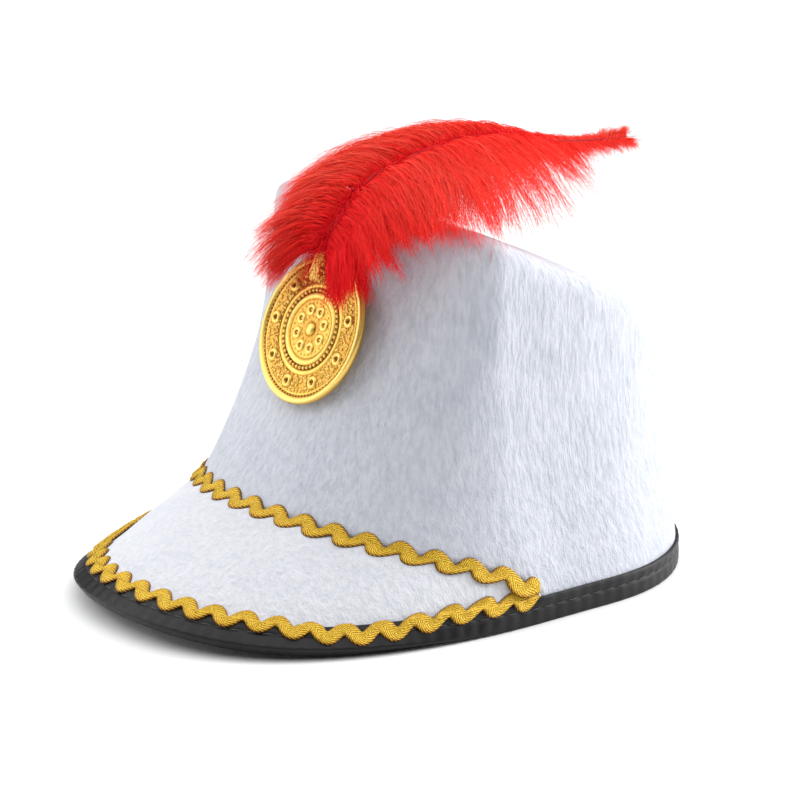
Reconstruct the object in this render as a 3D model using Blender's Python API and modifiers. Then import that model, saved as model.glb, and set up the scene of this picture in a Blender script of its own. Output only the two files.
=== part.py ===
"""A costume guard hat, built from its separate pieces.

A tall felt crown leans back above a moulded felt peak. A black binding runs right round the lower
edge. One wavy gold trim covers the join of crown and peak, and another follows the peak's edge.
A round cast medallion with a bail sits high on the front, and a feather stands up behind it.

The hat faces -Y, the wearer's left is +X, and it stands at z = 0 on the back of its binding.
The origin is under the middle of the hat's length and width. All lengths are in metres.

A place on the hat's outline is a station: 0 is the centre of the back, 1 the back of the
straight side, 2 the front of the straight side where the peak begins, 3 the centre of the front.
Stations past 3, and below 0, are on the wearer's right.
"""
import math

import bmesh
import bpy
import numpy as np
from mathutils import Matrix

# Felt
FELT_THICKNESS = 0.0018
CLEARANCE = 0.0003
JOIN_GAP = 0.0010

# Crown
CROWN_WIDTH = 0.1686
CROWN_HEIGHT = 0.1400
SIDE_RUN = 0.0306
FRONT_REACH = 0.0826
BACK_REACH = 0.0716
BAND_HEIGHT = 0.0100
TOP_SLOPE_DEG = 25.0
TOP_DOME = 0.0030
TOP_ROUND = 0.0110
FRONT_ROUNDNESS = 1.95
BACK_ROUNDNESS = 2.25

# The crown's wall from the band (0) to the front corner of its top (1), as shares of
# FRONT_REACH, BACK_REACH and half of CROWN_WIDTH
WALL_SECTIONS = (
    {"up": 0.00, "front": 1.000, "back": 1.000, "width": 1.000},
    {"up": 0.25, "front": 0.713, "back": 1.070, "width": 0.838},
    {"up": 0.50, "front": 0.487, "back": 1.065, "width": 0.765},
    {"up": 0.75, "front": 0.321, "back": 0.980, "width": 0.758},
    {"up": 1.00, "front": 0.216, "back": 0.815, "width": 0.758},
)

# Peak
PEAK_REACH = 0.1207
PEAK_ROUNDNESS = 2.27
PEAK_LIFT = 0.0057
PEAK_LIFT_EASE = 5.0
PEAK_EDGE_SLOPE_DEG = 36.0
PEAK_EDGE_EASE = 0.75
PEAK_DROOP = 0.40
JOIN_HEIGHT = 0.0347
JOIN_EASE = 0.72

# Edge binding
BINDING_THICKNESS = 0.0009
BINDING_OUTER_FLANGE = 0.0084
BINDING_INNER_FLANGE = 0.0050
SEAM_HEIGHT = 0.0046
SEAM_DEPTH = 0.0004

# Wavy trims
TRIM_WIDTH = 0.0044
TRIM_THICKNESS = 0.0008
TRIM_WAVE = 0.0123
TRIM_SWING = 0.0022
TRIM_STAND = 0.0005
CROWN_TRIM_DROP = 0.0009
PEAK_TRIM_RISE = 0.0092
PEAK_TRIM_SAG = 0.0046
PEAK_TRIM_SAG_STATION = 2.36
PEAK_TRIM_SAG_SPREAD = 0.27
TRIM_OVERLAP = 0.0300
TRIM_SETTLE = 0.0150

# Medallion
MEDALLION_RADIUS = 0.0271
MEDALLION_HEIGHT = 0.0920
MEDALLION_LEAN_DEG = 23.0
MEDALLION_PLATE = 0.0014
MEDALLION_RELIEF = 0.0012
MEDALLION_STAND = 0.0023
PLATE_CHAMFER = 0.0004
POST_RADIUS = 0.0025
BAIL_WIDTH = 0.0070
BAIL_DROP = 0.0120
BAIL_RISE = 0.0028
BAIL_ABOVE = 0.0010
SOCKET_RADIUS = 0.0022
SOCKET_LENGTH = 0.0070
CAST_TAPER = 0.55

# Cones cast on the medallion's face in two rings: how many, the ring's radius as a share of
# MEDALLION_RADIUS and each cone's radius as a share of MEDALLION_RELIEF
MEDALLION_RINGS = (
    {"name": "boss", "count": 9, "ring": 0.745, "cone": 1.75},
    {"name": "petal", "count": 8, "ring": 0.270, "cone": 1.75},
)

# Cast rings on the medallion's face: shares of its radius and of its relief
MEDALLION_PROFILE = (
    {"radius": 0.00, "relief": 1.00},
    {"radius": 0.09, "relief": 0.90},
    {"radius": 0.14, "relief": 0.25},
    {"radius": 0.40, "relief": 0.25},
    {"radius": 0.44, "relief": 0.80},
    {"radius": 0.49, "relief": 0.80},
    {"radius": 0.53, "relief": 0.20},
    {"radius": 0.58, "relief": 0.55},
    {"radius": 0.62, "relief": 0.25},
    {"radius": 0.87, "relief": 0.25},
    {"radius": 0.90, "relief": 0.00},
    {"radius": 0.94, "relief": 0.95},
    {"radius": 0.98, "relief": 0.95},
    {"radius": 1.00, "relief": 0.55},
)

# A cone's top above the plate's face and its root below it, as shares of MEDALLION_RELIEF
CONE_TOP = 1.05
CONE_ROOT = 0.15

# Feather
FEATHER_RUN = 0.1314
FEATHER_RISE = 0.0342
FEATHER_SWAY = 0.0180
FEATHER_STAND = 0.0045
QUILL_RADIUS = 0.0011
QUILL_TAPER = 0.60
VANE_LENGTH = 0.0460
VANE_THICKNESS = 0.0034
LOCK_WIDTH = 0.0150
LOCKS_A_SIDE = 10
FIRST_LOCK = 0.085
LOCK_STAGGER = 0.25
LOCK_TAPER = 0.6

# How far each lock goes sideways, up and along the stem, as shares of its length
LOCK_SIDEWAYS = 0.85
LOCK_UPWARD = 0.10
LOCK_ONWARD = 0.40

# Locks near the root also go forward, over the medallion: how far, and how soon that fades
LOCK_FORWARD = 0.50
LOCK_FORWARD_FADE = 0.45

# Rows along the feather's stem, from its root (0) to its tip (1): shares of FEATHER_RUN,
# FEATHER_RISE and FEATHER_SWAY, then each side's lock length and droop as shares of VANE_LENGTH
FEATHER_ROWS = (
    {"along": 0.00, "back": 0.000, "rise": 0.00, "sway": 0.00, "near": 0.80, "far": 0.80, "droop": 0.50},
    {"along": 0.08, "back": 0.030, "rise": 0.23, "sway": 0.01, "near": 0.95, "far": 0.90, "droop": 0.50},
    {"along": 0.22, "back": 0.138, "rise": 0.66, "sway": 0.05, "near": 1.00, "far": 0.90, "droop": 0.38},
    {"along": 0.38, "back": 0.288, "rise": 0.88, "sway": 0.15, "near": 0.95, "far": 0.75, "droop": 0.50},
    {"along": 0.60, "back": 0.530, "rise": 1.00, "sway": 0.35, "near": 0.80, "far": 0.60, "droop": 0.65},
    {"along": 0.80, "back": 0.772, "rise": 0.83, "sway": 0.64, "near": 0.60, "far": 0.45, "droop": 0.50},
    {"along": 1.00, "back": 1.000, "rise": 0.80, "sway": 1.00, "near": 0.25, "far": 0.20, "droop": 0.10},
)

# Worked out from the sizes above
BINDING_REACH = CLEARANCE + BINDING_THICKNESS
FULL_BACK = BACK_REACH * max(row["back"] for row in WALL_SECTIONS)
EDGE_SLOPE = math.radians(PEAK_EDGE_SLOPE_DEG)
FULL_FRONT = PEAK_REACH + BINDING_REACH * (math.sin(EDGE_SLOPE) + math.cos(EDGE_SLOPE))
FRONT_LINE = (FULL_FRONT - SIDE_RUN - FULL_BACK) / 2
BACK_LINE = FRONT_LINE + SIDE_RUN
BACK_CENTRE, SIDE_BACK, SIDE_FRONT, FRONT_CENTRE = 0.0, 1.0, 2.0, 3.0
FULL_TURN_END = 2 * FRONT_CENTRE - SIDE_FRONT

# Each piece's colour from the photograph, its roughness and its metallic share
SURFACES = {
    "white_felt": {"colour": (0.86, 0.87, 0.89), "roughness": 0.95, "metallic": 0.0},
    "peak_felt": {"colour": (0.88, 0.89, 0.90), "roughness": 0.95, "metallic": 0.0},
    "black_binding": {"colour": (0.020, 0.020, 0.022), "roughness": 0.45, "metallic": 0.0},
    "gold_trim": {"colour": (0.72, 0.48, 0.05), "roughness": 0.45, "metallic": 0.6},
    "medallion_gold": {"colour": (0.85, 0.62, 0.18), "roughness": 0.35, "metallic": 1.0},
    "feather_red": {"colour": (0.80, 0.02, 0.03), "roughness": 0.85, "metallic": 0.0},
}

# Mesh density
BACK_COLUMNS = 10
SIDE_COLUMNS = 2
FRONT_COLUMNS = 14
TOP_RINGS = (0.50, 1.00)
ROUND_STEPS = 3
WALL_STEPS = 5
PEAK_STEPS = 6
STEPS_A_WAVE = 8
MEDALLION_SIDES = 36
CONE_SIDES = 8
POST_SIDES = 12
QUILL_STEPS = 21
LOCK_SECTIONS = 4
LOCK_SIDES = 6
LINE_STEPS = 400
PEAK_LINE_STEPS = 12
JOIN_LINE_STEPS = 8
TOP_EDGE_PASSES = 30

# How far above the join the wall is followed, and how far past its top corner the sections are read
ABOVE_JOIN = 0.016
PAST_CORNER = 1.2

# Small steps that give the direction of the hat's edge, of the feather's stem and of a lock
NUDGE = 0.01
STEM_NUDGE = 0.02
LOCK_NUDGE = 0.05
MERGE_DISTANCE = 0.00001


def smooth(rows, key, column, place):
    """Read a table's column at any place along its key, on a smooth curve through the rows."""
    keys = np.array([row[key] for row in rows])
    values = np.array([row[column] for row in rows])
    slopes = np.gradient(values, keys)
    low = np.clip(np.searchsorted(keys, place, side="right") - 1, 0, len(keys) - 2)
    step = keys[low + 1] - keys[low]
    t = (place - keys[low]) / step
    return (
        (2 * t**3 - 3 * t**2 + 1) * values[low]
        + (t**3 - 2 * t**2 + t) * step * slopes[low]
        + (3 * t**2 - 2 * t**3) * values[low + 1]
        + (t**3 - t**2) * step * slopes[low + 1]
    )


def ease(share):
    """Smooth step from 0 to 1."""
    share = np.clip(share, 0, 1)
    return share * share * (3 - 2 * share)


def power(value, roundness):
    """Turn a sine or cosine into the coordinate of a superellipse."""
    return np.abs(value) ** (2 / roundness)


def fold(station):
    """Bring any station onto the wearer's left, with the sign of its x."""
    beyond = station > FRONT_CENTRE
    near = np.where(beyond, 2 * FRONT_CENTRE - station, np.abs(station))
    return near, np.where(beyond | (station < BACK_CENTRE), -1.0, 1.0)


def outline(station, half_width, front, back, front_roundness):
    """Plan of the hat at some height: a round back, a straight side and a round front."""
    near, side = fold(np.asarray(station, dtype=float))
    back_turn = np.clip(near, 0, 1) * math.pi / 2
    front_turn = np.clip(near - SIDE_FRONT, 0, 1) * math.pi / 2
    straight = np.clip(near - SIDE_BACK, 0, 1)
    x = half_width * power(np.sin(back_turn), BACK_ROUNDNESS) * power(np.cos(front_turn), front_roundness)
    y = (
        BACK_LINE
        - SIDE_RUN * straight
        + back * power(np.cos(back_turn), BACK_ROUNDNESS)
        - front * power(np.sin(front_turn), front_roundness)
    )
    x = np.where(x < MERGE_DISTANCE, 0.0, x)
    return side * x, y


def wall(station, height):
    """The outer face of the crown's wall."""
    up = np.clip((height - BAND_HEIGHT) / (CROWN_HEIGHT - BAND_HEIGHT), 0, PAST_CORNER)
    x, y = outline(
        station,
        CROWN_WIDTH / 2 * smooth(WALL_SECTIONS, "up", "width", up),
        FRONT_REACH * smooth(WALL_SECTIONS, "up", "front", up),
        BACK_REACH * smooth(WALL_SECTIONS, "up", "back", up),
        FRONT_ROUNDNESS,
    )
    return np.stack([x, y, height + 0 * x], axis=-1)


def edge(station):
    """The felt's lower edge: level round the back and sides, lifted along the peak."""
    x, y = outline(station, CROWN_WIDTH / 2, PEAK_REACH, BACK_REACH, PEAK_ROUNDNESS)
    slope = edge_slope(station)
    under = BINDING_REACH * np.sin(slope) + (BINDING_REACH + FELT_THICKNESS) * np.cos(slope)
    return np.stack([x, y, under + PEAK_LIFT * forward(station) ** PEAK_LIFT_EASE], axis=-1)


def forward(station):
    """How far along the peak a station lies: 0 where the peak begins, 1 at the front."""
    y = outline(station, CROWN_WIDTH / 2, PEAK_REACH, BACK_REACH, PEAK_ROUNDNESS)[1]
    return np.clip((FRONT_LINE - y) / PEAK_REACH, 0, 1)


def edge_slope(station):
    """How steeply the felt rises from its edge: upright at the sides and back, sloping on the peak."""
    upright = math.pi / 2
    return upright + (EDGE_SLOPE - upright) * ease(forward(station) / PEAK_EDGE_EASE)


def join(station):
    """The line where the peak meets the crown."""
    return wall(station, BAND_HEIGHT + (JOIN_HEIGHT - BAND_HEIGHT) * forward(station) ** JOIN_EASE)


def edge_frame(station):
    """Two directions at the felt's edge: up along the felt, and out of its outer face."""
    along = edge(station + NUDGE) - edge(station - NUDGE)
    outward = np.stack([-along[..., 1], along[..., 0], 0 * along[..., 0]], axis=-1)
    outward /= np.linalg.norm(outward, axis=-1, keepdims=True)
    slope = edge_slope(station)[..., None]
    lift = np.array([0.0, 0.0, 1.0])
    return lift * np.sin(slope) - outward * np.cos(slope), outward * np.sin(slope) + lift * np.cos(slope)


def peak_curve(station, share):
    """The peak's outer face from its edge (share 0) to the crown (share 1)."""
    low = edge(station)
    high = join(station)
    span = np.linalg.norm(high - low, axis=-1, keepdims=True)
    middle = low + edge_frame(station)[0] * span * PEAK_DROOP
    share = np.asarray(share)[..., None]
    return low * (1 - share) ** 2 + middle * 2 * share * (1 - share) + high * share**2


def felt_line(station):
    """One station's outer face from the edge up past the join, and the join's length along it."""
    peak = np.array([peak_curve(station, share) for share in np.linspace(0, 1, PEAK_LINE_STEPS + 1)])
    start = peak[-1][2]
    rises = np.linspace(0, ABOVE_JOIN, JOIN_LINE_STEPS + 1)[1:]
    above = np.array([wall(station, start + rise) for rise in rises])
    points = np.concatenate([peak, above])
    lengths = np.concatenate([[0], np.cumsum(np.linalg.norm(np.diff(points, axis=0), axis=1))])
    return points, lengths, lengths[len(peak) - 1]


def on_felt(station, rise, from_join=False):
    """A point on the felt a length above its edge or above the join, with the way out of the felt."""
    points, lengths, join_length = felt_line(station)
    place = rise + (join_length if from_join else 0.0)
    reach = TRIM_WIDTH / 2

    def at(length):
        return np.array([np.interp(length, lengths, points[:, axis]) for axis in range(3)])

    upward = at(place + reach) - at(max(place - reach, 0.0))
    line = join if from_join else edge
    along = line(station + NUDGE) - line(station - NUDGE)
    outward = np.cross(upward, along)
    return at(place), outward / np.linalg.norm(outward)


def even_stations(line, start, stop, count):
    """Stations spaced evenly by length along a line of the hat."""
    dense, lengths = measured(line, start, stop)
    return np.interp(np.linspace(0, lengths[-1], count), lengths, dense)


def measured(line, start, stop):
    """Closely spaced stations of a line with the length along it to each."""
    dense = np.linspace(start, stop, LINE_STEPS)
    steps = np.linalg.norm(np.diff(line(dense), axis=0), axis=1)
    return dense, np.concatenate([[0], np.cumsum(steps)])


def peak_start():
    """The first station of the peak, a small gap ahead of the crown's side edge."""
    turn = math.asin((JOIN_GAP / PEAK_REACH) ** (PEAK_ROUNDNESS / 2))
    return SIDE_FRONT + turn / (math.pi / 2)


def hat_columns():
    """Stations from the centre of the back to the centre of the front."""
    back = even_stations(edge, BACK_CENTRE, SIDE_BACK, BACK_COLUMNS + 1)
    side = even_stations(edge, SIDE_BACK, SIDE_FRONT, SIDE_COLUMNS + 1)
    front = even_stations(edge, SIDE_FRONT, FRONT_CENTRE, FRONT_COLUMNS + 1)
    return np.concatenate([back, side[1:], front[1:]])


def material(name):
    """A Principled material with the values of its row in SURFACES."""
    values = SURFACES[name]
    made = bpy.data.materials.new(name)
    made.use_nodes = True
    shader = made.node_tree.nodes["Principled BSDF"]
    shader.inputs["Base Color"].default_value = (*values["colour"], 1.0)
    shader.inputs["Roughness"].default_value = values["roughness"]
    shader.inputs["Metallic"].default_value = values["metallic"]
    return made


def mesh_object(name, points, faces, collection, surface=None):
    """Make one object of a list of points and faces, shaded smooth."""
    mesh = bpy.data.meshes.new(name)
    mesh.from_pydata([tuple(point) for point in points], [], faces)
    mesh.validate()
    mesh.shade_smooth()
    made = bpy.data.objects.new(name, mesh)
    if surface:
        mesh.materials.append(surface)
    collection.objects.link(made)
    return made


def grid_faces(rows, columns, ring=False, first=0):
    """Quads between rows of points, closed round into a ring on request."""
    faces = []
    for row in range(rows - 1):
        for column in range(columns if ring else columns - 1):
            after = (column + 1) % columns
            low = first + row * columns
            high = low + columns
            faces.append((low + column, low + after, high + after, high + column))
    return faces


def mirror_sides(item):
    """Mirror the wearer's left half of a piece onto the right."""
    mirror = item.modifiers.new("Both sides", "MIRROR")
    mirror.use_clip = True
    mirror.merge_threshold = MERGE_DISTANCE


def thicken(item):
    """Give an open felt surface its thickness, inward."""
    solid = item.modifiers.new("Felt", "SOLIDIFY")
    solid.thickness = FELT_THICKNESS
    solid.offset = -1.0
    solid.use_even_offset = True


def top_edge_height(station):
    """Height where the crown's wall meets its sloping top."""
    slope = math.tan(math.radians(TOP_SLOPE_DEG))
    corner = wall(FRONT_CENTRE, CROWN_HEIGHT)
    height = CROWN_HEIGHT + 0 * station
    for _ in range(TOP_EDGE_PASSES):
        height = CROWN_HEIGHT - slope * (wall(station, height)[..., 1] - corner[1])
    return height


def crown_rows(columns):
    """Rows of the crown's outer face, from the ring nearest the middle of the top to the join."""
    height = top_edge_height(columns)
    corner = wall(columns, height)
    centre = np.array([0.0, (corner[0][1] + corner[-1][1]) / 2, (corner[0][2] + corner[-1][2]) / 2])
    inward = centre - corner
    inward /= np.linalg.norm(inward, axis=1, keepdims=True)
    shelf = corner + inward * TOP_ROUND
    shoulder = wall(columns, height - TOP_ROUND)
    dome = np.array([0.0, 0.0, TOP_DOME])
    rows = [centre + (shelf - centre) * share + dome * (1 - share**2) for share in TOP_RINGS]
    for step in range(1, ROUND_STEPS + 1):
        t = step / ROUND_STEPS
        rows.append(shelf * (1 - t) ** 2 + corner * 2 * t * (1 - t) + shoulder * t**2)
    foot = join(columns)[:, 2] + np.where(columns >= SIDE_FRONT, JOIN_GAP, 0)
    for step in range(1, WALL_STEPS + 1):
        t = step / WALL_STEPS
        rows.append(wall(columns, shoulder[:, 2] * (1 - t) + foot * t))
    return centre + dome, rows


def build_crown(collection, felt):
    """The crown: a felt shell with a sloping top, open below, cut away in front for the peak."""
    columns = hat_columns()
    count = len(columns)
    middle, rows = crown_rows(columns)
    band = int(np.sum(columns <= SIDE_FRONT))
    points = [middle] + [point for row in rows for point in row] + list(edge(columns[:band]))
    faces = [(0, 2 + column, 1 + column) for column in range(count - 1)]
    faces += grid_faces(len(rows), count, first=1)
    last = 1 + (len(rows) - 1) * count
    below = last + count
    for column in range(band - 1):
        faces.append((last + column, last + column + 1, below + column + 1, below + column))
    crown = mesh_object("crown", points, faces, collection, felt)
    mirror_sides(crown)
    thicken(crown)
    return crown


def build_peak(collection, felt):
    """The peak: a felt shell from the crown's front down to the binding."""
    columns = hat_columns()[-FRONT_COLUMNS - 1 :]
    columns[0] = peak_start()
    points = [peak_curve(columns, share + 0 * columns) for share in np.linspace(0, 1, PEAK_STEPS + 1)]
    faces = [face[::-1] for face in grid_faces(PEAK_STEPS + 1, len(columns))]
    peak = mesh_object("peak", np.concatenate(points), faces, collection, felt)
    mirror_sides(peak)
    thicken(peak)
    return peak


def binding_section(station):
    """The binding's section: a tape folded round the felt's edge, with a stitched groove."""
    low = edge(station)
    upward, outward = edge_frame(station)
    outer = BINDING_REACH
    inner = FELT_THICKNESS + CLEARANCE

    def face(rise, stand):
        point, normal = on_felt(station, rise)
        return point + normal * stand

    def foot(rise, stand):
        return low + upward * rise + outward * stand

    return [
        face(BINDING_OUTER_FLANGE, CLEARANCE),
        face(BINDING_OUTER_FLANGE, outer),
        face(SEAM_HEIGHT + SEAM_DEPTH, outer),
        face(SEAM_HEIGHT, outer - SEAM_DEPTH),
        face(SEAM_HEIGHT - SEAM_DEPTH, outer),
        foot(-outer, outer),
        foot(-outer, -inner - BINDING_THICKNESS),
        face(BINDING_INNER_FLANGE, -inner - BINDING_THICKNESS),
        face(BINDING_INNER_FLANGE, -inner),
        foot(-CLEARANCE, -inner),
        foot(-CLEARANCE, CLEARANCE),
    ]


def build_binding(collection, black):
    """The edge binding: one closed loop round the hat."""
    columns = hat_columns()
    sections = [binding_section(station) for station in columns]
    size = len(sections[0])
    points = [point for section in sections for point in section]
    faces = [face[::-1] for face in grid_faces(len(columns), size, ring=True)]
    binding = mesh_object("edge_binding", points, faces, collection, black)
    mirror_sides(binding)
    return binding


def ribbon_corner(station, rise, from_join, stand):
    """A point of a ribbon's lower face and one of its upper face, over the same place on the felt."""
    point, outward = on_felt(station, rise, from_join)
    return point + outward * stand, point + outward * (stand + TRIM_THICKNESS)


def sag(station):
    """How far the peak's trim dips toward the binding, on the wearer's left."""
    away = np.abs(station - PEAK_TRIM_SAG_STATION) / PEAK_TRIM_SAG_SPREAD
    return PEAK_TRIM_SAG * (1 - ease(away))


def build_trim(name, collection, gold, from_join):
    """A flat ribbon woven in a wave, laid along the join or along the peak's edge."""
    stand = TRIM_STAND if from_join else BINDING_REACH + CLEARANCE
    dense, lengths = measured(join if from_join else edge, SIDE_FRONT, FULL_TURN_END)
    total = lengths[-1]
    waves = round(total / TRIM_WAVE)
    wave = total / waves
    start = TRIM_WIDTH / 2
    places = np.linspace(start, total - start, waves * STEPS_A_WAVE + 1)
    over_peak_trim = (BINDING_REACH + CLEARANCE + TRIM_THICKNESS) * from_join
    points = []
    for place in places:
        phase = 2 * math.pi * place / wave
        tilt = TRIM_SWING * 2 * math.pi / wave * math.cos(phase)
        across = np.array([-tilt, 1.0]) / math.hypot(1.0, tilt) * TRIM_WIDTH / 2
        centre = np.array([place, TRIM_SWING * math.sin(phase)])
        to_end = min(place, total - place)
        lifted = stand + over_peak_trim * (1 - ease((to_end - TRIM_OVERLAP) / TRIM_SETTLE))
        corners = []
        for run, swing in (centre - across, centre + across):
            station = np.interp(run, lengths, dense)
            rise = -CROWN_TRIM_DROP if from_join else PEAK_TRIM_RISE - sag(station)
            corners.append(ribbon_corner(station, rise + swing, from_join, lifted))
        low, high = corners
        points += [low[0], high[0], high[1], low[1]]
    count = len(places)
    faces = [face[::-1] for face in grid_faces(count, 4, ring=True)]
    faces += [(0, 1, 2, 3), tuple(4 * (count - 1) + corner for corner in (3, 2, 1, 0))]
    return mesh_object(name, points, faces, collection, gold)


def medallion_place():
    """The medallion's matrix: its own z points out of its face and its own y up its face."""
    seat = wall(FRONT_CENTRE, MEDALLION_HEIGHT)
    turn = Matrix.Rotation(math.radians(90 - MEDALLION_LEAN_DEG), 4, "X")
    out = turn @ Matrix.Translation((0, 0, MEDALLION_STAND))
    return Matrix.Translation(tuple(seat)) @ out


def add_guide(name, guides, place):
    """Keep the primitive just made as a guide: placed on the medallion, and hidden from renders."""
    made = bpy.context.object
    made.name = name
    for owner in made.users_collection:
        owner.objects.unlink(made)
    guides.objects.link(made)
    made.matrix_world = place @ made.matrix_world
    made.hide_render = True
    made.display_type = "WIRE"
    return made


def join_guides(item, guides):
    """Fuse every guide into the item."""
    fuse = item.modifiers.new("Fuse", "BOOLEAN")
    fuse.operation = "UNION"
    fuse.operand_type = "COLLECTION"
    fuse.collection = guides


def build_medallion(collection, brass, guides):
    """The medallion: a turned plate with cast rings and cones, a bail, the quill's socket and a post."""
    face = MEDALLION_PLATE
    profile = [
        (row["radius"] * MEDALLION_RADIUS, 0.0, face + row["relief"] * MEDALLION_RELIEF)
        for row in MEDALLION_PROFILE
    ]
    profile += [
        (MEDALLION_RADIUS, 0.0, PLATE_CHAMFER),
        (MEDALLION_RADIUS - PLATE_CHAMFER, 0.0, 0.0),
        (0.0, 0.0, 0.0),
    ]
    edges = [(index, index + 1) for index in range(len(profile) - 1)]
    mesh = bpy.data.meshes.new("medallion")
    mesh.from_pydata(profile, edges, [])
    mesh.materials.append(brass)
    medallion = bpy.data.objects.new("medallion", mesh)
    collection.objects.link(medallion)
    place = medallion_place()
    medallion.matrix_world = place
    turn = medallion.modifiers.new("Turn", "SCREW")
    turn.steps = MEDALLION_SIDES
    turn.render_steps = MEDALLION_SIDES
    turn.use_merge_vertices = True
    turn.merge_threshold = MERGE_DISTANCE
    middle = face + (CONE_TOP - CONE_ROOT) / 2 * MEDALLION_RELIEF
    for ring in MEDALLION_RINGS:
        for index in range(ring["count"]):
            angle = 2 * math.pi * (index + 0.5) / ring["count"]
            reach = ring["ring"] * MEDALLION_RADIUS
            bpy.ops.mesh.primitive_cone_add(
                vertices=CONE_SIDES,
                radius1=ring["cone"] * MEDALLION_RELIEF,
                radius2=ring["cone"] * MEDALLION_RELIEF * CAST_TAPER,
                depth=(CONE_TOP + CONE_ROOT) * MEDALLION_RELIEF,
                location=(math.cos(angle) * reach, math.sin(angle) * reach, middle),
            )
            add_guide(f"{ring['name']}_{index}", guides, place)
    bpy.ops.mesh.primitive_cube_add(size=1.0)
    bail = bpy.context.object
    front = face + MEDALLION_RELIEF + BAIL_RISE
    bail.scale = (BAIL_WIDTH, BAIL_DROP, front - MEDALLION_PLATE / 2)
    top = MEDALLION_RADIUS + BAIL_ABOVE
    bail.location = (0, top - BAIL_DROP / 2, (front + MEDALLION_PLATE / 2) / 2)
    bpy.ops.object.transform_apply(location=True, scale=True)
    add_guide("bail", guides, place)
    bpy.ops.mesh.primitive_cylinder_add(
        vertices=POST_SIDES,
        radius=SOCKET_RADIUS,
        depth=SOCKET_LENGTH,
        location=(0, top - SOCKET_LENGTH / 2, face + MEDALLION_RELIEF + FEATHER_STAND),
        rotation=(math.pi / 2, 0, 0),
    )
    add_guide("socket", guides, place)
    post = MEDALLION_STAND - 2 * CLEARANCE + MEDALLION_PLATE / 2
    bpy.ops.mesh.primitive_cylinder_add(
        vertices=POST_SIDES,
        radius=POST_RADIUS,
        depth=post,
        location=(0, 0, MEDALLION_PLATE / 2 - post / 2),
    )
    add_guide("post", guides, place)
    join_guides(medallion, guides)
    return medallion


def feather_root():
    """Where the quill starts: just above the socket on the medallion's bail."""
    place = medallion_place()
    top = MEDALLION_RADIUS + BAIL_ABOVE + CLEARANCE
    front = MEDALLION_PLATE + MEDALLION_RELIEF + FEATHER_STAND
    return np.array((place @ Matrix.Translation((0, top, front))).to_translation())


def stem(along):
    """A point on the feather's stem."""
    root = feather_root()
    back = FEATHER_RUN * smooth(FEATHER_ROWS, "along", "back", along)
    rise = FEATHER_RISE * smooth(FEATHER_ROWS, "along", "rise", along)
    sway = FEATHER_SWAY * smooth(FEATHER_ROWS, "along", "sway", along)
    return root + np.array([sway, back, rise])


def stem_direction(along):
    """The way the stem runs on towards the feather's tip."""
    ahead = stem(min(along + STEM_NUDGE, 1.0)) - stem(along - STEM_NUDGE)
    return ahead / np.linalg.norm(ahead)


def lock_point(along, side, reach):
    """A point along one lock, which leaves the stem sideways and forward and then droops."""
    length = VANE_LENGTH * smooth(FEATHER_ROWS, "along", "near" if side > 0 else "far", along)
    droop = VANE_LENGTH * smooth(FEATHER_ROWS, "along", "droop", along)
    fore = LOCK_FORWARD * (1 - ease(along / LOCK_FORWARD_FADE))
    out = np.array([side * LOCK_SIDEWAYS, -fore, LOCK_UPWARD]) + stem_direction(along) * LOCK_ONWARD
    point = stem(along) + out * length * reach
    return point - np.array([0.0, 0.0, droop * reach**2])


def build_feather(collection, red, guides):
    """The feather: a quill with flat tapering locks on both sides, fused into one body."""
    curve = bpy.data.curves.new("quill", "CURVE")
    curve.dimensions = "3D"
    curve.bevel_depth = QUILL_RADIUS
    curve.bevel_resolution = 1
    curve.use_fill_caps = True
    path = [stem(along) for along in np.linspace(0, 1, QUILL_STEPS + 1)]
    spline = curve.splines.new("POLY")
    spline.points.add(len(path) - 1)
    for index, point in enumerate(path):
        spline.points[index].co = (*point, 1.0)
        spline.points[index].radius = 1.0 - QUILL_TAPER * index / QUILL_STEPS
    quill = bpy.data.objects.new("quill", curve)
    collection.objects.link(quill)
    mesh = bpy.data.meshes.new_from_object(quill.evaluated_get(bpy.context.evaluated_depsgraph_get()))
    bpy.data.objects.remove(quill)
    welded = bmesh.new()
    welded.from_mesh(mesh)
    bmesh.ops.remove_doubles(welded, verts=welded.verts, dist=MERGE_DISTANCE)
    welded.to_mesh(mesh)
    welded.free()
    mesh.materials.clear()
    mesh.materials.append(red)
    feather = bpy.data.objects.new("feather", mesh)
    collection.objects.link(feather)
    for side in (-1, 1):
        for index in range(LOCKS_A_SIDE):
            along = FIRST_LOCK + (1 - FIRST_LOCK) * (index + LOCK_STAGGER * side) / LOCKS_A_SIDE
            add_lock(along, side, index, guides)
    join_guides(feather, guides)
    fused = bpy.data.meshes.new_from_object(feather.evaluated_get(bpy.context.evaluated_depsgraph_get()))
    feather.modifiers.clear()
    feather.data = fused
    fill_pockets(fused)
    return feather


def fill_pockets(mesh):
    """Keep a fused body's outer skin and drop the skins of pockets shut in between its parts."""
    skin = bmesh.new()
    skin.from_mesh(mesh)
    unseen = set(skin.verts)
    islands = []
    while unseen:
        island = set()
        queue = [unseen.pop()]
        while queue:
            vertex = queue.pop()
            island.add(vertex)
            near = [edge.other_vert(vertex) for edge in vertex.link_edges]
            queue += [other for other in near if other in unseen]
            unseen.difference_update(near)
        islands.append(island)
    outer = max(islands, key=len)
    for island in islands:
        if island is not outer:
            bmesh.ops.delete(skin, geom=list(island), context="VERTS")
    skin.to_mesh(mesh)
    skin.free()


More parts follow.
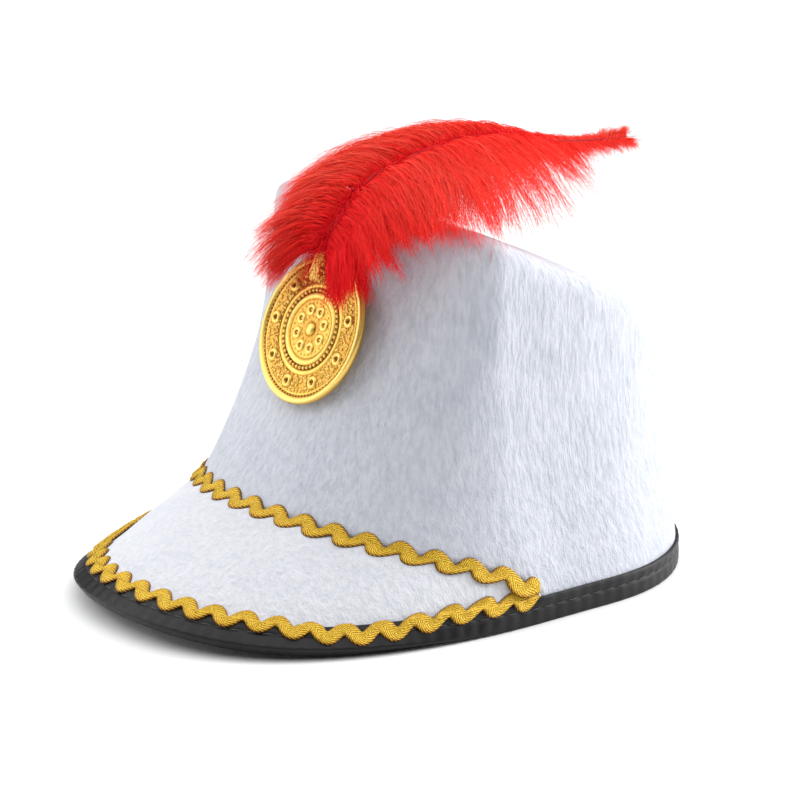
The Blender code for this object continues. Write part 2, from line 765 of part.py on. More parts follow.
def add_lock(along, side, index, guides):
    """One lock: a flat pointed horn that starts inside the quill."""
    ahead = stem_direction(along)
    points = []
    for section in range(LOCK_SECTIONS):
        reach = section / LOCK_SECTIONS
        middle = lock_point(along, side, reach)
        onward = lock_point(along, side, reach + LOCK_NUDGE) - middle
        thin = np.cross(onward, ahead)
        thin /= np.linalg.norm(thin)
        wide = np.cross(thin, onward)
        wide /= np.linalg.norm(wide)
        taper = (1 - reach) ** LOCK_TAPER
        for corner in range(LOCK_SIDES):
            angle = 2 * math.pi * corner / LOCK_SIDES
            points.append(
                middle
                + wide * math.cos(angle) * LOCK_WIDTH / 2 * taper
                + thin * math.sin(angle) * VANE_THICKNESS / 2 * taper
            )
    points.append(lock_point(along, side, 1.0))
    tip = len(points) - 1
    faces = grid_faces(LOCK_SECTIONS, LOCK_SIDES, ring=True)
    last = (LOCK_SECTIONS - 1) * LOCK_SIDES
    faces += [(last + corner, last + (corner + 1) % LOCK_SIDES, tip) for corner in range(LOCK_SIDES)]
    faces.append(tuple(range(LOCK_SIDES))[::-1])
    lock = mesh_object(f"lock_{'near' if side > 0 else 'far'}_{index}", points, faces, guides)
    lock.hide_render = True
    lock.display_type = "WIRE"


def new_collection(name):
    """A collection linked to the scene."""
    made = bpy.data.collections.new(name)
    bpy.context.scene.collection.children.link(made)
    return made


def main():
    for item in list(bpy.data.objects):
        bpy.data.objects.remove(item)
    hat = new_collection("costume_guard_hat")
    gold = material("gold_trim")
    build_crown(hat, material("white_felt"))
    build_peak(hat, material("peak_felt"))
    build_binding(hat, material("black_binding"))
    build_trim("crown_trim", hat, gold, True)
    build_trim("peak_trim", hat, gold, False)
    build_medallion(hat, material("medallion_gold"), new_collection("medallion_guides"))
    build_feather(hat, material("feather_red"), new_collection("feather_guides"))


main()
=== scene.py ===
"""Looks of the costume guard hat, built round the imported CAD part.

Every piece stands in the CAD part's own frame: the hat faces -Y, the wearer's left is +X, and it
rests on z = 0. All lengths are in metres. A place on the hat's outline is a station: 0 is the
centre of the back, 1 the back of the straight side, 2 the front of the straight side where the
peak begins, 3 the centre of the front. Stations past 3, and below 0, are on the wearer's right.
"""

import math

import bpy
import numpy as np
from mathutils import Matrix


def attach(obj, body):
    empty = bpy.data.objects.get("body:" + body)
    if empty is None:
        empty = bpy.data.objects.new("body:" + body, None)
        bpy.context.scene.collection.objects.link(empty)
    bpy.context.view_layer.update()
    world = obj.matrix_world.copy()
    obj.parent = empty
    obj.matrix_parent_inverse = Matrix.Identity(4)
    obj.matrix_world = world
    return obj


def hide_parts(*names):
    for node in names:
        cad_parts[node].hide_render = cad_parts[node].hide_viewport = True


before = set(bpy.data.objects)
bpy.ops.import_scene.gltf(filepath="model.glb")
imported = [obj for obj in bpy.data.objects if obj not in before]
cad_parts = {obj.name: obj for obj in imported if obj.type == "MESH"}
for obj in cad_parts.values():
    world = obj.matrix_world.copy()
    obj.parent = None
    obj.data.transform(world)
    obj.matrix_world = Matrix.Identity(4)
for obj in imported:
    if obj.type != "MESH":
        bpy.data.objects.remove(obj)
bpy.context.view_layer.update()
BODY = "root"
TO_MM = 1000
UP = np.array([0.0, 0.0, 1.0])


def table(columns, *rows):
    """A table's rows, each with its values under the names of the columns."""
    return [dict(zip(columns.split(), row)) for row in rows]


# Felt, and how many rows and columns of points its face has
FELT_THICKNESS = 0.0018
FELT_UNEVENNESS = 0.0003
FELT_RIPPLES = table("size share seed", (0.020, 1.0, 0.0), (0.009, 0.6, 1.3))
NAP_STRETCH = (1.0, 1.0, 0.28)
LUMP_STRETCH = (1.0, 1.0, 0.45)
FELT_BACK_COLUMNS, FELT_FRONT_COLUMNS = 80, 84
TOP_ROWS, ROUND_ROWS, WALL_ROWS, PEAK_ROWS = 12, 10, 40, 26
FIRST_RING = 0.02
FADE_ROWS = 3

# Crown
CROWN_WIDTH = 0.1686
CROWN_HEIGHT = 0.1400
SIDE_RUN = 0.0306
FRONT_REACH = 0.0826
BACK_REACH = 0.0716
BAND_HEIGHT = 0.0100
TOP_SLOPE_DEG = 25.0
TOP_DOME = 0.0030
TOP_ROUND = 0.0110
TOP_EDGE_PASSES = 30
PAST_CORNER = 1.2
FRONT_ROUNDNESS = 1.95
BACK_ROUNDNESS = 2.25

# The crown's wall from the band (0) to the front corner of its top (1), as shares of
# FRONT_REACH, BACK_REACH and half of CROWN_WIDTH
WALL_SECTIONS = table(
    "up front back width",
    (0.00, 1.000, 1.000, 1.000),
    (0.25, 0.713, 1.070, 0.838),
    (0.50, 0.487, 1.065, 0.765),
    (0.75, 0.321, 0.980, 0.758),
    (1.00, 0.216, 0.815, 0.758),
)

# Peak
PEAK_REACH = 0.1207
PEAK_ROUNDNESS = 2.27
PEAK_LIFT = 0.0057
PEAK_LIFT_EASE = 5.0
PEAK_EDGE_SLOPE_DEG = 36.0
PEAK_EDGE_EASE = 0.75
PEAK_DROOP = 0.40
JOIN_HEIGHT = 0.0347
JOIN_EASE = 0.72

# Steps of the measured line up the felt: on the peak, and over a stretch of the wall above the join
PEAK_LINE_STEPS, JOIN_LINE_STEPS = 17, 12
ABOVE_JOIN = (0.001, 0.016)
LINE_POINTS = 600

# Edge binding
BINDING_THICKNESS = 0.0009
BINDING_GAP = 0.0003
BINDING_OUTER_FLANGE = 0.0084
BINDING_INNER_FLANGE = 0.0050
BINDING_CORNER = 0.45
BINDING_BACK_COLUMNS, BINDING_FRONT_COLUMNS = 150, 170
BINDING_PUCKER = 0.00012
PUCKER_CHANCE = 0.7
PUCKER_SIZE = 0.006
PUCKER_SEED = 0.4
PUCKERED_ROWS = ((2, 0.6), (3, 1.0), (4, 1.0), (6, 1.0), (7, 1.0), (8, 0.8), (9, 0.5))
TAPE_RIB_MM = 0.55
SEAM_HEIGHT = 0.0046
SEAM_DEPTH = 0.0005
STITCH_PITCH = 0.0056
STITCH_LENGTH = 0.0038
STITCH_RADIUS = 0.00022
STITCH_HUMP = 1.5

# Wavy trims
TRIM_WIDTH = 0.0056
TRIM_THICKNESS = 0.0009
TRIM_WAVE = 0.0123
TRIM_SWING = 0.0019
TRIM_STAND = 0.0001
TRIM_BEND = 0.4
TRIM_SQUARENESS = 5.0
TRIM_COLUMNS = 15
STEPS_A_WAVE = 52
BINDING_STEP_DOWN = 0.0015
TRIM_YARN_MM = 1.05
TRIM_SLANT = 1.3
TRIM_RIDGE = 0.00014
CROWN_TRIM_DROP = 0.0009
PEAK_TRIM_RISE = 0.0092
PEAK_TRIM_SAG = 0.0046
PEAK_TRIM_SAG_STATION = 2.36
PEAK_TRIM_SAG_SPREAD = 0.27
TRIM_OVERLAP = 0.0220
BINDING_OVERLAP = 0.0080
TRIM_SETTLE = 0.0110

# Medallion
MEDALLION_RADIUS = 0.0271
MEDALLION_HEIGHT = 0.0920
MEDALLION_LEAN_DEG = 23.0
MEDALLION_STAND = 0.0023
MEDALLION_PLATE = 0.0014
MEDALLION_RELIEF = 0.0012
MEDALLION_SIDES = 180
FLOOR_RELIEF = 0.25
POST_RADIUS = 0.0025
POST_ENDS = (0.0004, -0.0017)

# Bail and feather
FEATHER_STAND = 0.0045
BAIL_WIDTH = 0.0074
BAIL_DROP = 0.0120
BAIL_DEPTH = 0.0068
BAIL_FLARE = 0.35
BAIL_ABOVE = 0.0010
QUILL_SINK = 0.0015
FEATHER_RUN = 0.1314
FEATHER_RISE = 0.0342
FEATHER_SWAY = 0.0180
QUILL_RADIUS = 0.0006
QUILL_TAPER = 0.85

# Camera, fitted to the photograph, in the part's frame
CAMERA_AZIMUTH_DEG = 51.945
CAMERA_ELEVATION_DEG = 16.781
CAMERA_DISTANCE = 1.26848
CAMERA_TARGET = (0.0, 0.01143, 0.06002)
CAMERA_LENS_MM = 157.89
SENSOR_MM = 36.0

# The studio: each light faces the hat from a direction along the camera's right, up and back
LIGHTS = table(
    "name direction distance size watts",
    ("light_left", (-1.0, 0.35, -0.10), 0.9, (0.7, 0.9), 4.2),
    ("light_right", (1.0, 0.35, -0.20), 0.9, (0.7, 0.9), 10.0),
    ("light_top", (0.0, 1.0, -0.10), 2.2, (5.0, 5.0), 120.0),
)
LIGHT_TARGET = np.array([0.0, 0.0, 0.07])
FLOOR_REACH = 12.0
FLOOR_COLOUR = (0.98, 0.98, 0.98, 1.0)
SKY_COLOUR = (0.93, 0.96, 1.0, 1.0)
SKY_STRENGTH = 0.10

# Worked out from the sizes above
BINDING_REACH = BINDING_GAP + BINDING_THICKNESS
FULL_BACK = BACK_REACH * max(row["back"] for row in WALL_SECTIONS)
EDGE_SLOPE = math.radians(PEAK_EDGE_SLOPE_DEG)
FULL_FRONT = PEAK_REACH + BINDING_REACH * (math.sin(EDGE_SLOPE) + math.cos(EDGE_SLOPE))
FRONT_LINE = (FULL_FRONT - SIDE_RUN - FULL_BACK) / 2
BACK_LINE = FRONT_LINE + SIDE_RUN
SIDE_FRONT, FRONT_CENTRE = 2.0, 3.0
FULL_TURN_END = 2 * FRONT_CENTRE - SIDE_FRONT
NUDGE = 0.01
TINY = 1e-12
TRIM_HALF_MM = TRIM_WIDTH / 2 * TO_MM

# The waves that make up an uneven surface: how fast each runs along x, y and z
RIPPLE_WAVES = ((1.7, 2.3, 1.1), (0.7, 2.9, -1.3), (1.9, -0.6, 2.1))

# The feather's stem, from its root (0) to its tip (1): shares of FEATHER_RUN, FEATHER_RISE and
# FEATHER_SWAY
STEM_ROWS = table(
    "along back rise sway",
    (0.00, 0.000, 0.00, 0.00),
    (0.08, 0.030, 0.23, 0.01),
    (0.22, 0.138, 0.66, 0.05),
    (0.38, 0.288, 0.88, 0.15),
    (0.60, 0.530, 1.00, 0.35),
    (0.80, 0.772, 0.83, 0.64),
    (1.00, 1.000, 0.80, 1.00),
)

# Where each side's barbs end: shares of BARB_REACH sideways, back and down from the stem
BARB_REACH = 0.0400
NEAR_BARBS = table(
    "along out back down",
    (0.00, 0.55, -0.40, 0.26),
    (0.08, 0.80, -0.36, 0.34),
    (0.20, 1.04, -0.34, 0.27),
    (0.30, 1.26, -0.42, 0.32),
    (0.40, 1.42, -0.56, 0.36),
    (0.46, 1.42, -0.40, 0.48),
    (0.52, 1.32, -0.12, 0.56),
    (0.60, 1.10, 0.14, 0.64),
    (0.70, 0.76, 0.16, 0.46),
    (0.80, 0.30, 0.12, 0.18),
    (0.90, 0.15, 0.16, 0.08),
    (1.00, 0.12, 0.14, 0.02),
)
FAR_BARBS = table(
    "along out back down",
    (0.00, 0.50, -0.30, 0.46),
    (0.08, 0.68, -0.38, 0.38),
    (0.22, 0.80, -0.38, 0.34),
    (0.38, 0.90, -0.52, 0.28),
    (0.50, 0.90, -0.44, 0.25),
    (0.60, 0.84, -0.32, 0.25),
    (0.70, 0.70, -0.22, 0.22),
    (0.80, 0.38, -0.06, 0.13),
    (0.90, 0.15, 0.14, -0.03),
    (1.00, 0.12, 0.14, -0.08),
)
BARBS_A_SIDE = 8200
BARB_POINTS = 12
BARB_WIDTH = 0.00024
NEAR_ARCH = 0.0024
FAR_ARCH = 0.0050
BARB_ROOT = (0.0005, -0.0005)
BACK_AT_ROOT = 0.4
HANG_EASE = 0.8
RIBBON_TAPER = 0.75
FIRST_BARB, LAST_BARB = 0.012, 0.970
BARB_CROWDING = 1.2

# How much barbs and locks differ: shares of out and down, and what is added to back and down
BARB_SPREAD = (0.10, 0.06, 0.10, 0.03)
LOCK_SPREAD = (0.14, 0.10, 0.20, 0.05)
LOCKS_A_SIDE = 100
FIRST_LOCK = 0.01
LOCK_MIXING = 0.006
PULL_RANGE = (0.55, 1.15)
PULL_EASE = 1.4
FULL_PULL = 0.94
LOOSE_TIPS = 0.0011
BARB_CURL = 0.0009
CURL_TURN = 2.2
NEAR_PULL = 0.74
FAR_PULL = 0.50
# The far side's barbs are painted lighter and more orange, as painted light on the side that faces up
FAR_SIDE_PAINTED_LIGHT = 0.45
LONG_BARBS = (0.62, 1.0)
LONG_EASE = 0.6
SHORTEST_BARB = 0.30
SHORT_EASE = 3.2
THIN_FROM = 0.43
THIN_SPREAD = 0.16

# Down round the quill, fuzz on the barbs, and the painted light and shade of all of them, with some tone
# by chance
DOWN_BARBS = 5200
DOWN_STRETCH = (0.012, 0.72)
DOWN_LENGTH = (0.006, 0.017)
DOWN_WAYS = ((-1.0, 1.0), (-0.6, 0.5), (-0.9, 0.1))
DOWN_SINK = -0.5
DOWN_CURL = 0.10
DOWN_PAINTED_SHADE = 0.5
DOWN_POINTS = 7
FUZZ_FIBRES = 21000
FUZZ_POINTS = 4
FUZZ_LENGTH = (0.0016, 0.0046)
FUZZ_WIDTH = 0.00013
FUZZ_FROM_POINT = 3
FUZZ_ONWARD, FUZZ_ASIDE = 0.55, 0.42
FUZZ_SINK = -0.35
PAINTED_LIGHT_LOW_HEIGHT = 0.112
PAINTED_LIGHT_HIGH_HEIGHT = 0.150
HEIGHT_PAINTED_LIGHT, TIP_PAINTED_LIGHT, CHANCE_TONE = 0.55, 0.20, 0.25
BARB_CLEARANCE = 0.0006


def smooth(rows, column, place):
    """Read a table's column anywhere along its first column, on a smooth curve."""
    keys = np.array([next(iter(row.values())) for row in rows])
    values = np.array([row[column] for row in rows])
    slopes = np.gradient(values, keys)
    low = np.clip(np.searchsorted(keys, place, side="right") - 1, 0, len(keys) - 2)
    step = keys[low + 1] - keys[low]
    t = (place - keys[low]) / step
    return (
        (2 * t**3 - 3 * t**2 + 1) * values[low]
        + (t**3 - 2 * t**2 + t) * step * slopes[low]
        + (3 * t**2 - 2 * t**3) * values[low + 1]
        + (t**3 - t**2) * step * slopes[low + 1]
    )


def ease(share):
    """Smooth step from 0 to 1."""
    share = np.clip(share, 0, 1)
    return share * share * (3 - 2 * share)


def unit(vectors):
    """The vectors at a length of one."""
    return vectors / (np.linalg.norm(vectors, axis=-1, keepdims=True) + TINY)


def power(value, roundness):
    """Turn a sine or cosine into the coordinate of a superellipse."""
    return np.abs(value) ** (2 / roundness)


def outline(station, half_width, front, back, front_roundness):
    """Plan of the hat: a round back, a straight side and a round front."""
    station = np.asarray(station, dtype=float)
    beyond = station > FRONT_CENTRE
    near = np.where(beyond, 2 * FRONT_CENTRE - station, np.abs(station))
    side = np.where(beyond | (station < 0), -1.0, 1.0)
    back_turn = np.clip(near, 0, 1) * math.pi / 2
    front_turn = np.clip(near - SIDE_FRONT, 0, 1) * math.pi / 2
    straight = np.clip(near - 1, 0, 1)
    back_width = power(np.sin(back_turn), BACK_ROUNDNESS)
    front_width = power(np.cos(front_turn), front_roundness)
    y = (
        BACK_LINE
        - SIDE_RUN * straight
        + back * power(np.cos(back_turn), BACK_ROUNDNESS)
        - front * power(np.sin(front_turn), front_roundness)
    )
    return side * half_width * back_width * front_width, y


def wall_sizes(height):
    """The crown's half width, front reach and back reach at a height."""
    up = np.clip((height - BAND_HEIGHT) / (CROWN_HEIGHT - BAND_HEIGHT), 0, PAST_CORNER)
    return (
        CROWN_WIDTH / 2 * smooth(WALL_SECTIONS, "width", up),
        FRONT_REACH * smooth(WALL_SECTIONS, "front", up),
        BACK_REACH * smooth(WALL_SECTIONS, "back", up),
    )


def wall(station, height):
    """The outer face of the crown's wall."""
    x, y = outline(station, *wall_sizes(height), FRONT_ROUNDNESS)
    return np.stack([x, y, height + 0 * x], axis=-1)


def edge_outline(station):
    """Plan of the felt's lower edge."""
    return outline(station, CROWN_WIDTH / 2, PEAK_REACH, BACK_REACH, PEAK_ROUNDNESS)


def forward(station):
    """How far along the peak a station lies: 0 where the peak begins, 1 at the front."""
    return np.clip((FRONT_LINE - edge_outline(station)[1]) / PEAK_REACH, 0, 1)


def edge_slope(station):
    """How steeply the felt rises from its edge: upright but for the peak."""
    upright = math.pi / 2
    return upright + (EDGE_SLOPE - upright) * ease(forward(station) / PEAK_EDGE_EASE)


def edge(station):
    """The felt's lower edge: level round the back and sides, lifted along the peak."""
    x, y = edge_outline(station)
    slope = edge_slope(station)
    under = BINDING_REACH * np.sin(slope) + (BINDING_REACH + FELT_THICKNESS) * np.cos(slope)
    return np.stack([x, y, under + PEAK_LIFT * forward(station) ** PEAK_LIFT_EASE], axis=-1)


def join(station):
    """The line where the peak meets the crown."""
    return wall(station, BAND_HEIGHT + (JOIN_HEIGHT - BAND_HEIGHT) * forward(station) ** JOIN_EASE)


def edge_frame(station):
    """Two directions at the felt's edge: up along the felt, and out of its outer face."""
    along = edge(station + NUDGE) - edge(station - NUDGE)
    outward = unit(np.stack([-along[..., 1], along[..., 0], 0 * along[..., 0]], axis=-1))
    slope = edge_slope(station)[..., None]
    return UP * np.sin(slope) - outward * np.cos(slope), outward * np.sin(slope) + UP * np.cos(slope)


def peak_curve(station, share):
    """The felt's outer face from its edge (share 0) to the join (share 1)."""
    low = edge(station)
    high = join(station)
    span = np.linalg.norm(high - low, axis=-1, keepdims=True)
    middle = low + edge_frame(station)[0] * span * PEAK_DROOP
    share = np.asarray(share)[..., None]
    return low * (1 - share) ** 2 + middle * 2 * share * (1 - share) + high * share**2


def on_felt(stations, rises, from_join=False):
    """Points on the felt at lengths above its edge or its join, and the ways out of the felt."""
    stations = np.asarray(stations, dtype=float)
    column = stations[:, None]
    below = peak_curve(column, np.linspace(0, 1, PEAK_LINE_STEPS)[None, :])
    above = wall(column, join(column)[..., 2] + np.linspace(*ABOVE_JOIN, JOIN_LINE_STEPS)[None, :])
    lines = np.concatenate([below, above], axis=1)
    steps = np.linalg.norm(np.diff(lines, axis=1), axis=2)
    lengths = np.concatenate([np.zeros((len(stations), 1)), np.cumsum(steps, axis=1)], axis=1)
    starts = lengths[:, PEAK_LINE_STEPS - 1] if from_join else np.zeros(len(stations))
    reach = TRIM_WIDTH / 4

    def at(places):
        found = np.empty((len(stations), 3))
        for index, place in enumerate(places):
            for axis in range(3):
                found[index, axis] = np.interp(place, lengths[index], lines[index, :, axis])
        return found

    places = starts + rises
    upward = at(places + reach) - at(np.maximum(places - reach, 0))
    line = join if from_join else edge
    onward = line(stations + NUDGE) - line(stations - NUDGE)
    return at(places), unit(np.cross(upward, onward))


def measured(line, start, stop):
    """Closely spaced stations of a line with the length along it to each."""
    dense = np.linspace(start, stop, LINE_POINTS)
    steps = np.linalg.norm(np.diff(line(dense), axis=0), axis=1)
    return dense, np.concatenate([[0], np.cumsum(steps)])


def even_stations(line, start, stop, count):
    """Stations spaced evenly by length along a line of the hat."""
    dense, lengths = measured(line, start, stop)
    return np.interp(np.linspace(0, lengths[-1], count), lengths, dense)


def hat_loop(back_count, front_count):
    """Stations all the way round the hat, with one exactly where the peak begins on each side."""
    back = even_stations(edge, 0.0, SIDE_FRONT, back_count + 1)
    front = even_stations(edge, SIDE_FRONT, FRONT_CENTRE, front_count + 1)
    left = np.concatenate([back, front[1:]])
    return np.concatenate([left, (2 * FRONT_CENTRE - left[::-1])[1:-1]])


def ripple(points, size, seed=0.0):
    """A soft uneven value from -1 to 1 at each point, at a size in metres."""
    total = 0
    for turn, wave in enumerate(RIPPLE_WAVES, start=1):
        total = total + np.sin(points @ np.array(wave) / size + turn * seed)
    return total / len(RIPPLE_WAVES)


def add_object(name, data):
    """A new object in the scene."""
    made = bpy.data.objects.new(name, data)
    bpy.context.scene.collection.objects.link(made)
    return made


def place_object(thing, side, up, away, origin):
    """Place an object by its own x, y and z directions and its origin."""
    place = np.eye(4)
    place[:3] = np.stack([side, up, away, origin], axis=1)
    thing.matrix_world = Matrix(place.tolist())


def add_mesh(name, points, faces, material):
    """A mesh object with its material."""
    mesh = bpy.data.meshes.new(name)
    mesh.from_pydata(np.asarray(points).tolist(), [], faces)
    mesh.materials.append(material)
    return add_object(name, mesh)


def mesh_piece(name, points, faces, material):
    """A smooth piece of the hat, riding on its body."""
    piece = add_mesh(name, points, faces, material)
    piece.data.shade_smooth()
    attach(piece, BODY)
    return piece


def grid_faces(rows, columns, ring=False, first=0):
    """Quads between rows of points, closed round into a ring on request."""
    faces = []
    for row in range(rows - 1):
        for column in range(columns if ring else columns - 1):
            after = (column + 1) % columns
            low = first + row * columns
            high = low + columns
            faces.append((low + column, low + after, high + after, high + column))
    return faces


def tube_points(centre, side, other, radii, sides):
    """Rings of points round a centre line, from two directions across it and its radii."""
    angles = (2 * math.pi * np.arange(sides) / sides)[:, None]
    rings = np.cos(angles) * side[:, None] + np.sin(angles) * other[:, None]
    return (centre[:, None] + rings * radii[:, None, None]).reshape(-1, 3)


def end_faces(rows, columns, first=0):
    """The two end faces of a tube made of rings of points."""
    last = first + (rows - 1) * columns
    return [tuple(range(first, first + columns))[::-1], tuple(range(last, last + columns))]


def place_uv(piece, values):
    """Give every vertex of a piece a pair of coordinates that its material can read."""
    layer = piece.data.uv_layers.new(name="UVMap")
    corners = np.empty(len(piece.data.loops), dtype=np.int32)
    piece.data.loops.foreach_get("vertex_index", corners)
    layer.data.foreach_set("uv", np.asarray(values, dtype=np.float32)[corners].ravel())


def place_tone(piece, values):
    """Give every vertex of a piece a tone from 0 to 1 that its material can read."""
    layer = piece.data.attributes.new("tone", "FLOAT", "POINT")
    layer.data.foreach_set("value", np.asarray(values, dtype=np.float32))


class Surface:
    """A material with a Principled shader, and short ways to add nodes to it."""

    def __init__(self, name, **values):
        self.material = bpy.data.materials.new(name)
        self.material.use_nodes = True
        self.tree = self.material.node_tree
        self.shader = self.tree.nodes["Principled BSDF"]
        for socket, value in values.items():
            self.shader.inputs[socket.replace("_", " ")].default_value = value

    def node(self, kind, inputs=None, **settings):
        made = self.tree.nodes.new(kind)
        for setting, value in settings.items():
            setattr(made, setting, value)
        for socket, value in (inputs or {}).items():
            if isinstance(value, bpy.types.NodeSocket):
                self.tree.links.new(value, made.inputs[socket])
            else:
                made.inputs[socket].default_value = value
        return made

    def link(self, source, socket):
        self.tree.links.new(source, self.shader.inputs[socket])

    def math(self, operation, first, second=0.0):
        return self.node("ShaderNodeMath", {0: first, 1: second}, operation=operation).outputs[0]

    def mix(self, first, share, second):
        """The first times its share, plus the second."""
        inputs = {0: first, 1: share, 2: second}
        return self.node("ShaderNodeMath", inputs, operation="MULTIPLY_ADD").outputs[0]

    def spread(self, factor, low, high):
        """A factor from 0 to 1 spread between two values."""
        return self.node("ShaderNodeMapRange", {0: factor, 3: low, 4: high}).outputs[0]

    def along_and_across(self):
        """The piece's own coordinates along and across its strip, in millimetres."""
        coordinates = self.node("ShaderNodeTexCoord").outputs["UV"]
        parts = self.node("ShaderNodeSeparateXYZ", {0: coordinates})
        return parts.outputs["X"], parts.outputs["Y"]

    def where(self, scale=(1, 1, 1)):
        """The piece's own coordinates in metres, stretched."""
        coordinates = self.node("ShaderNodeTexCoord").outputs["Object"]
        return self.node("ShaderNodeMapping", {"Vector": coordinates, "Scale": scale}).outputs[0]

    def noise(self, vector, scale, detail=3.0, roughness=0.55):
        inputs = {"Vector": vector, "Scale": scale, "Detail": detail, "Roughness": roughness}
        return self.node("ShaderNodeTexNoise", inputs).outputs["Fac"]

    def ramp(self, factor, stops):
        made = self.node("ShaderNodeValToRGB", {"Fac": factor})
        points = made.color_ramp.elements
        while len(points) < len(stops):
            points.new(0.5)
        for point, (position, colour) in zip(points, stops):
            point.position = position
            point.color = (*colour, 1.0)
        return made.outputs["Color"]

    def bump(self, height, distance, strength, under=None):
        inputs = {"Height": height, "Distance": distance, "Strength": strength}
        if under is not None:
            inputs["Normal"] = under
        return self.node("ShaderNodeBump", inputs).outputs["Normal"]


def felt_surface(name, light, shade):
    """White felt: mottled, with an upright nap of short streaks and a soft sheen."""
    felt = Surface(name, Roughness=0.95, Sheen_Weight=0.18, Sheen_Roughness=0.6, Specular_IOR_Level=0.1)
    cloudy = felt.noise(felt.where(), scale=60.0, detail=4.0)
    streaks = felt.noise(felt.where(NAP_STRETCH), scale=520.0, roughness=0.65)
    mixed = felt.mix(streaks, 0.72, felt.math("MULTIPLY", cloudy, 0.28))
    felt.link(felt.ramp(mixed, ((0.34, shade), (0.60, light))), "Base Color")
    grain = felt.noise(felt.where(), scale=2100.0, detail=2.0, roughness=0.6)
    lumps = felt.noise(felt.where(LUMP_STRETCH), scale=240.0)
    rough = felt.bump(grain, distance=0.0004, strength=0.6)
    rough = felt.bump(streaks, distance=0.0011, strength=0.75, under=rough)
    felt.link(felt.bump(lumps, distance=0.0012, strength=0.45, under=rough), "Normal")
    return felt.material


def felt_rows(columns):
    """Rows of the felt's outer face from the top's middle to the lower edge, and the join's row."""
    slope = math.tan(math.radians(TOP_SLOPE_DEG))
    front_corner = wall(FRONT_CENTRE, CROWN_HEIGHT)
    height = CROWN_HEIGHT + 0 * columns
    for _ in range(TOP_EDGE_PASSES):
        height = CROWN_HEIGHT - slope * (wall(columns, height)[:, 1] - front_corner[1])
    corner = wall(columns, height)
    between = (corner[np.argmax(corner[:, 1])] + front_corner) / 2
    centre = np.array([0.0, between[1], between[2]])
    shelf = corner + unit(centre - corner) * TOP_ROUND
    shoulder = wall(columns, height - TOP_ROUND)
    dome = np.array([0.0, 0.0, TOP_DOME])
    rows = []
    for share in np.linspace(FIRST_RING, 1, TOP_ROWS):
        rows.append(centre + (shelf - centre) * share + dome * (1 - share**2))
    for t in np.linspace(0, 1, ROUND_ROWS)[1:]:
        rows.append(shelf * (1 - t) ** 2 + corner * 2 * t * (1 - t) + shoulder * t**2)
    foot = join(columns)[:, 2]
    for t in np.linspace(0, 1, WALL_ROWS)[1:]:
        rows.append(wall(columns, shoulder[:, 2] * (1 - t) + foot * t))
    join_row = len(rows) - 1
    for share in np.linspace(1, 0, PEAK_ROWS)[1:]:
        rows.append(peak_curve(columns, share + 0 * columns))
    return centre + dome, np.array(rows), join_row


def build_felt(crown_felt, peak_felt):
    """Crown and peak: one moulded felt shape, split along the join under the ribbon."""
    columns = hat_loop(FELT_BACK_COLUMNS, FELT_FRONT_COLUMNS)
    middle, rows, join_row = felt_rows(columns)
    count = len(columns)
    around = np.roll(rows, -1, axis=1) - np.roll(rows, 1, axis=1)
    outward = unit(np.cross(around, np.gradient(rows, axis=0)))
    uneven = sum(wave["share"] * ripple(rows, wave["size"], wave["seed"]) for wave in FELT_RIPPLES)
    fade = np.clip(np.arange(len(rows)) / FADE_ROWS, 0, 1)
    rows += outward * (uneven * FELT_UNEVENNESS * fade[:, None])[..., None]
    points = np.concatenate([[middle], rows.reshape(-1, 3)])
    in_front = (columns >= SIDE_FRONT) & (columns < FULL_TURN_END)
    faces = [(0, 1 + (column + 1) % count, 1 + column) for column in range(count)]
    peak_faces = []
    for index, face in enumerate(grid_faces(len(rows), count, ring=True, first=1)):
        row, column = divmod(index, count)
        target = peak_faces if row >= join_row and in_front[column] else faces
        target.append(face)
    for name, kept, material, slot in (
        ("crown_felt", faces, crown_felt, "white_felt"),
        ("peak_felt", peak_faces, peak_felt, "peak_felt"),
    ):
        used = np.unique([corner for face in kept for corner in face])
        number = {old: new for new, old in enumerate(used.tolist())}
        renumbered = [tuple(number[corner] for corner in face) for face in kept]
        piece = mesh_piece(name, points[used], renumbered, material)
        solid = piece.modifiers.new("Felt", "SOLIDIFY")
        solid.thickness = FELT_THICKNESS
        solid.offset = -1.0
        solid.use_even_offset = True
        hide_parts("crown" if name == "crown_felt" else "peak")


def binding_surface():
    """Satin black tape: a fine crosswise rib and a little wear along its folds."""
    tape = Surface("black_tape", Roughness=0.38, Specular_IOR_Level=0.32)
    along, _ = tape.along_and_across()
    rib = tape.mix(tape.math("SINE", tape.math("MULTIPLY", along, 2 * math.pi / TAPE_RIB_MM)), 0.5, 0.5)
    cloudy = tape.noise(tape.where(), scale=160.0, detail=4.0)
    colours = ((0.3, (0.003, 0.003, 0.004)), (0.75, (0.010, 0.010, 0.011)))
    tape.link(tape.ramp(cloudy, colours), "Base Color")
    wear = tape.noise(tape.where(), scale=420.0)
    tape.link(tape.spread(wear, 0.34, 0.56), "Roughness")
    fine = tape.bump(rib, distance=0.00003, strength=0.4)
    tape.link(tape.bump(cloudy, distance=0.0004, strength=0.4, under=fine), "Normal")
    return tape.material


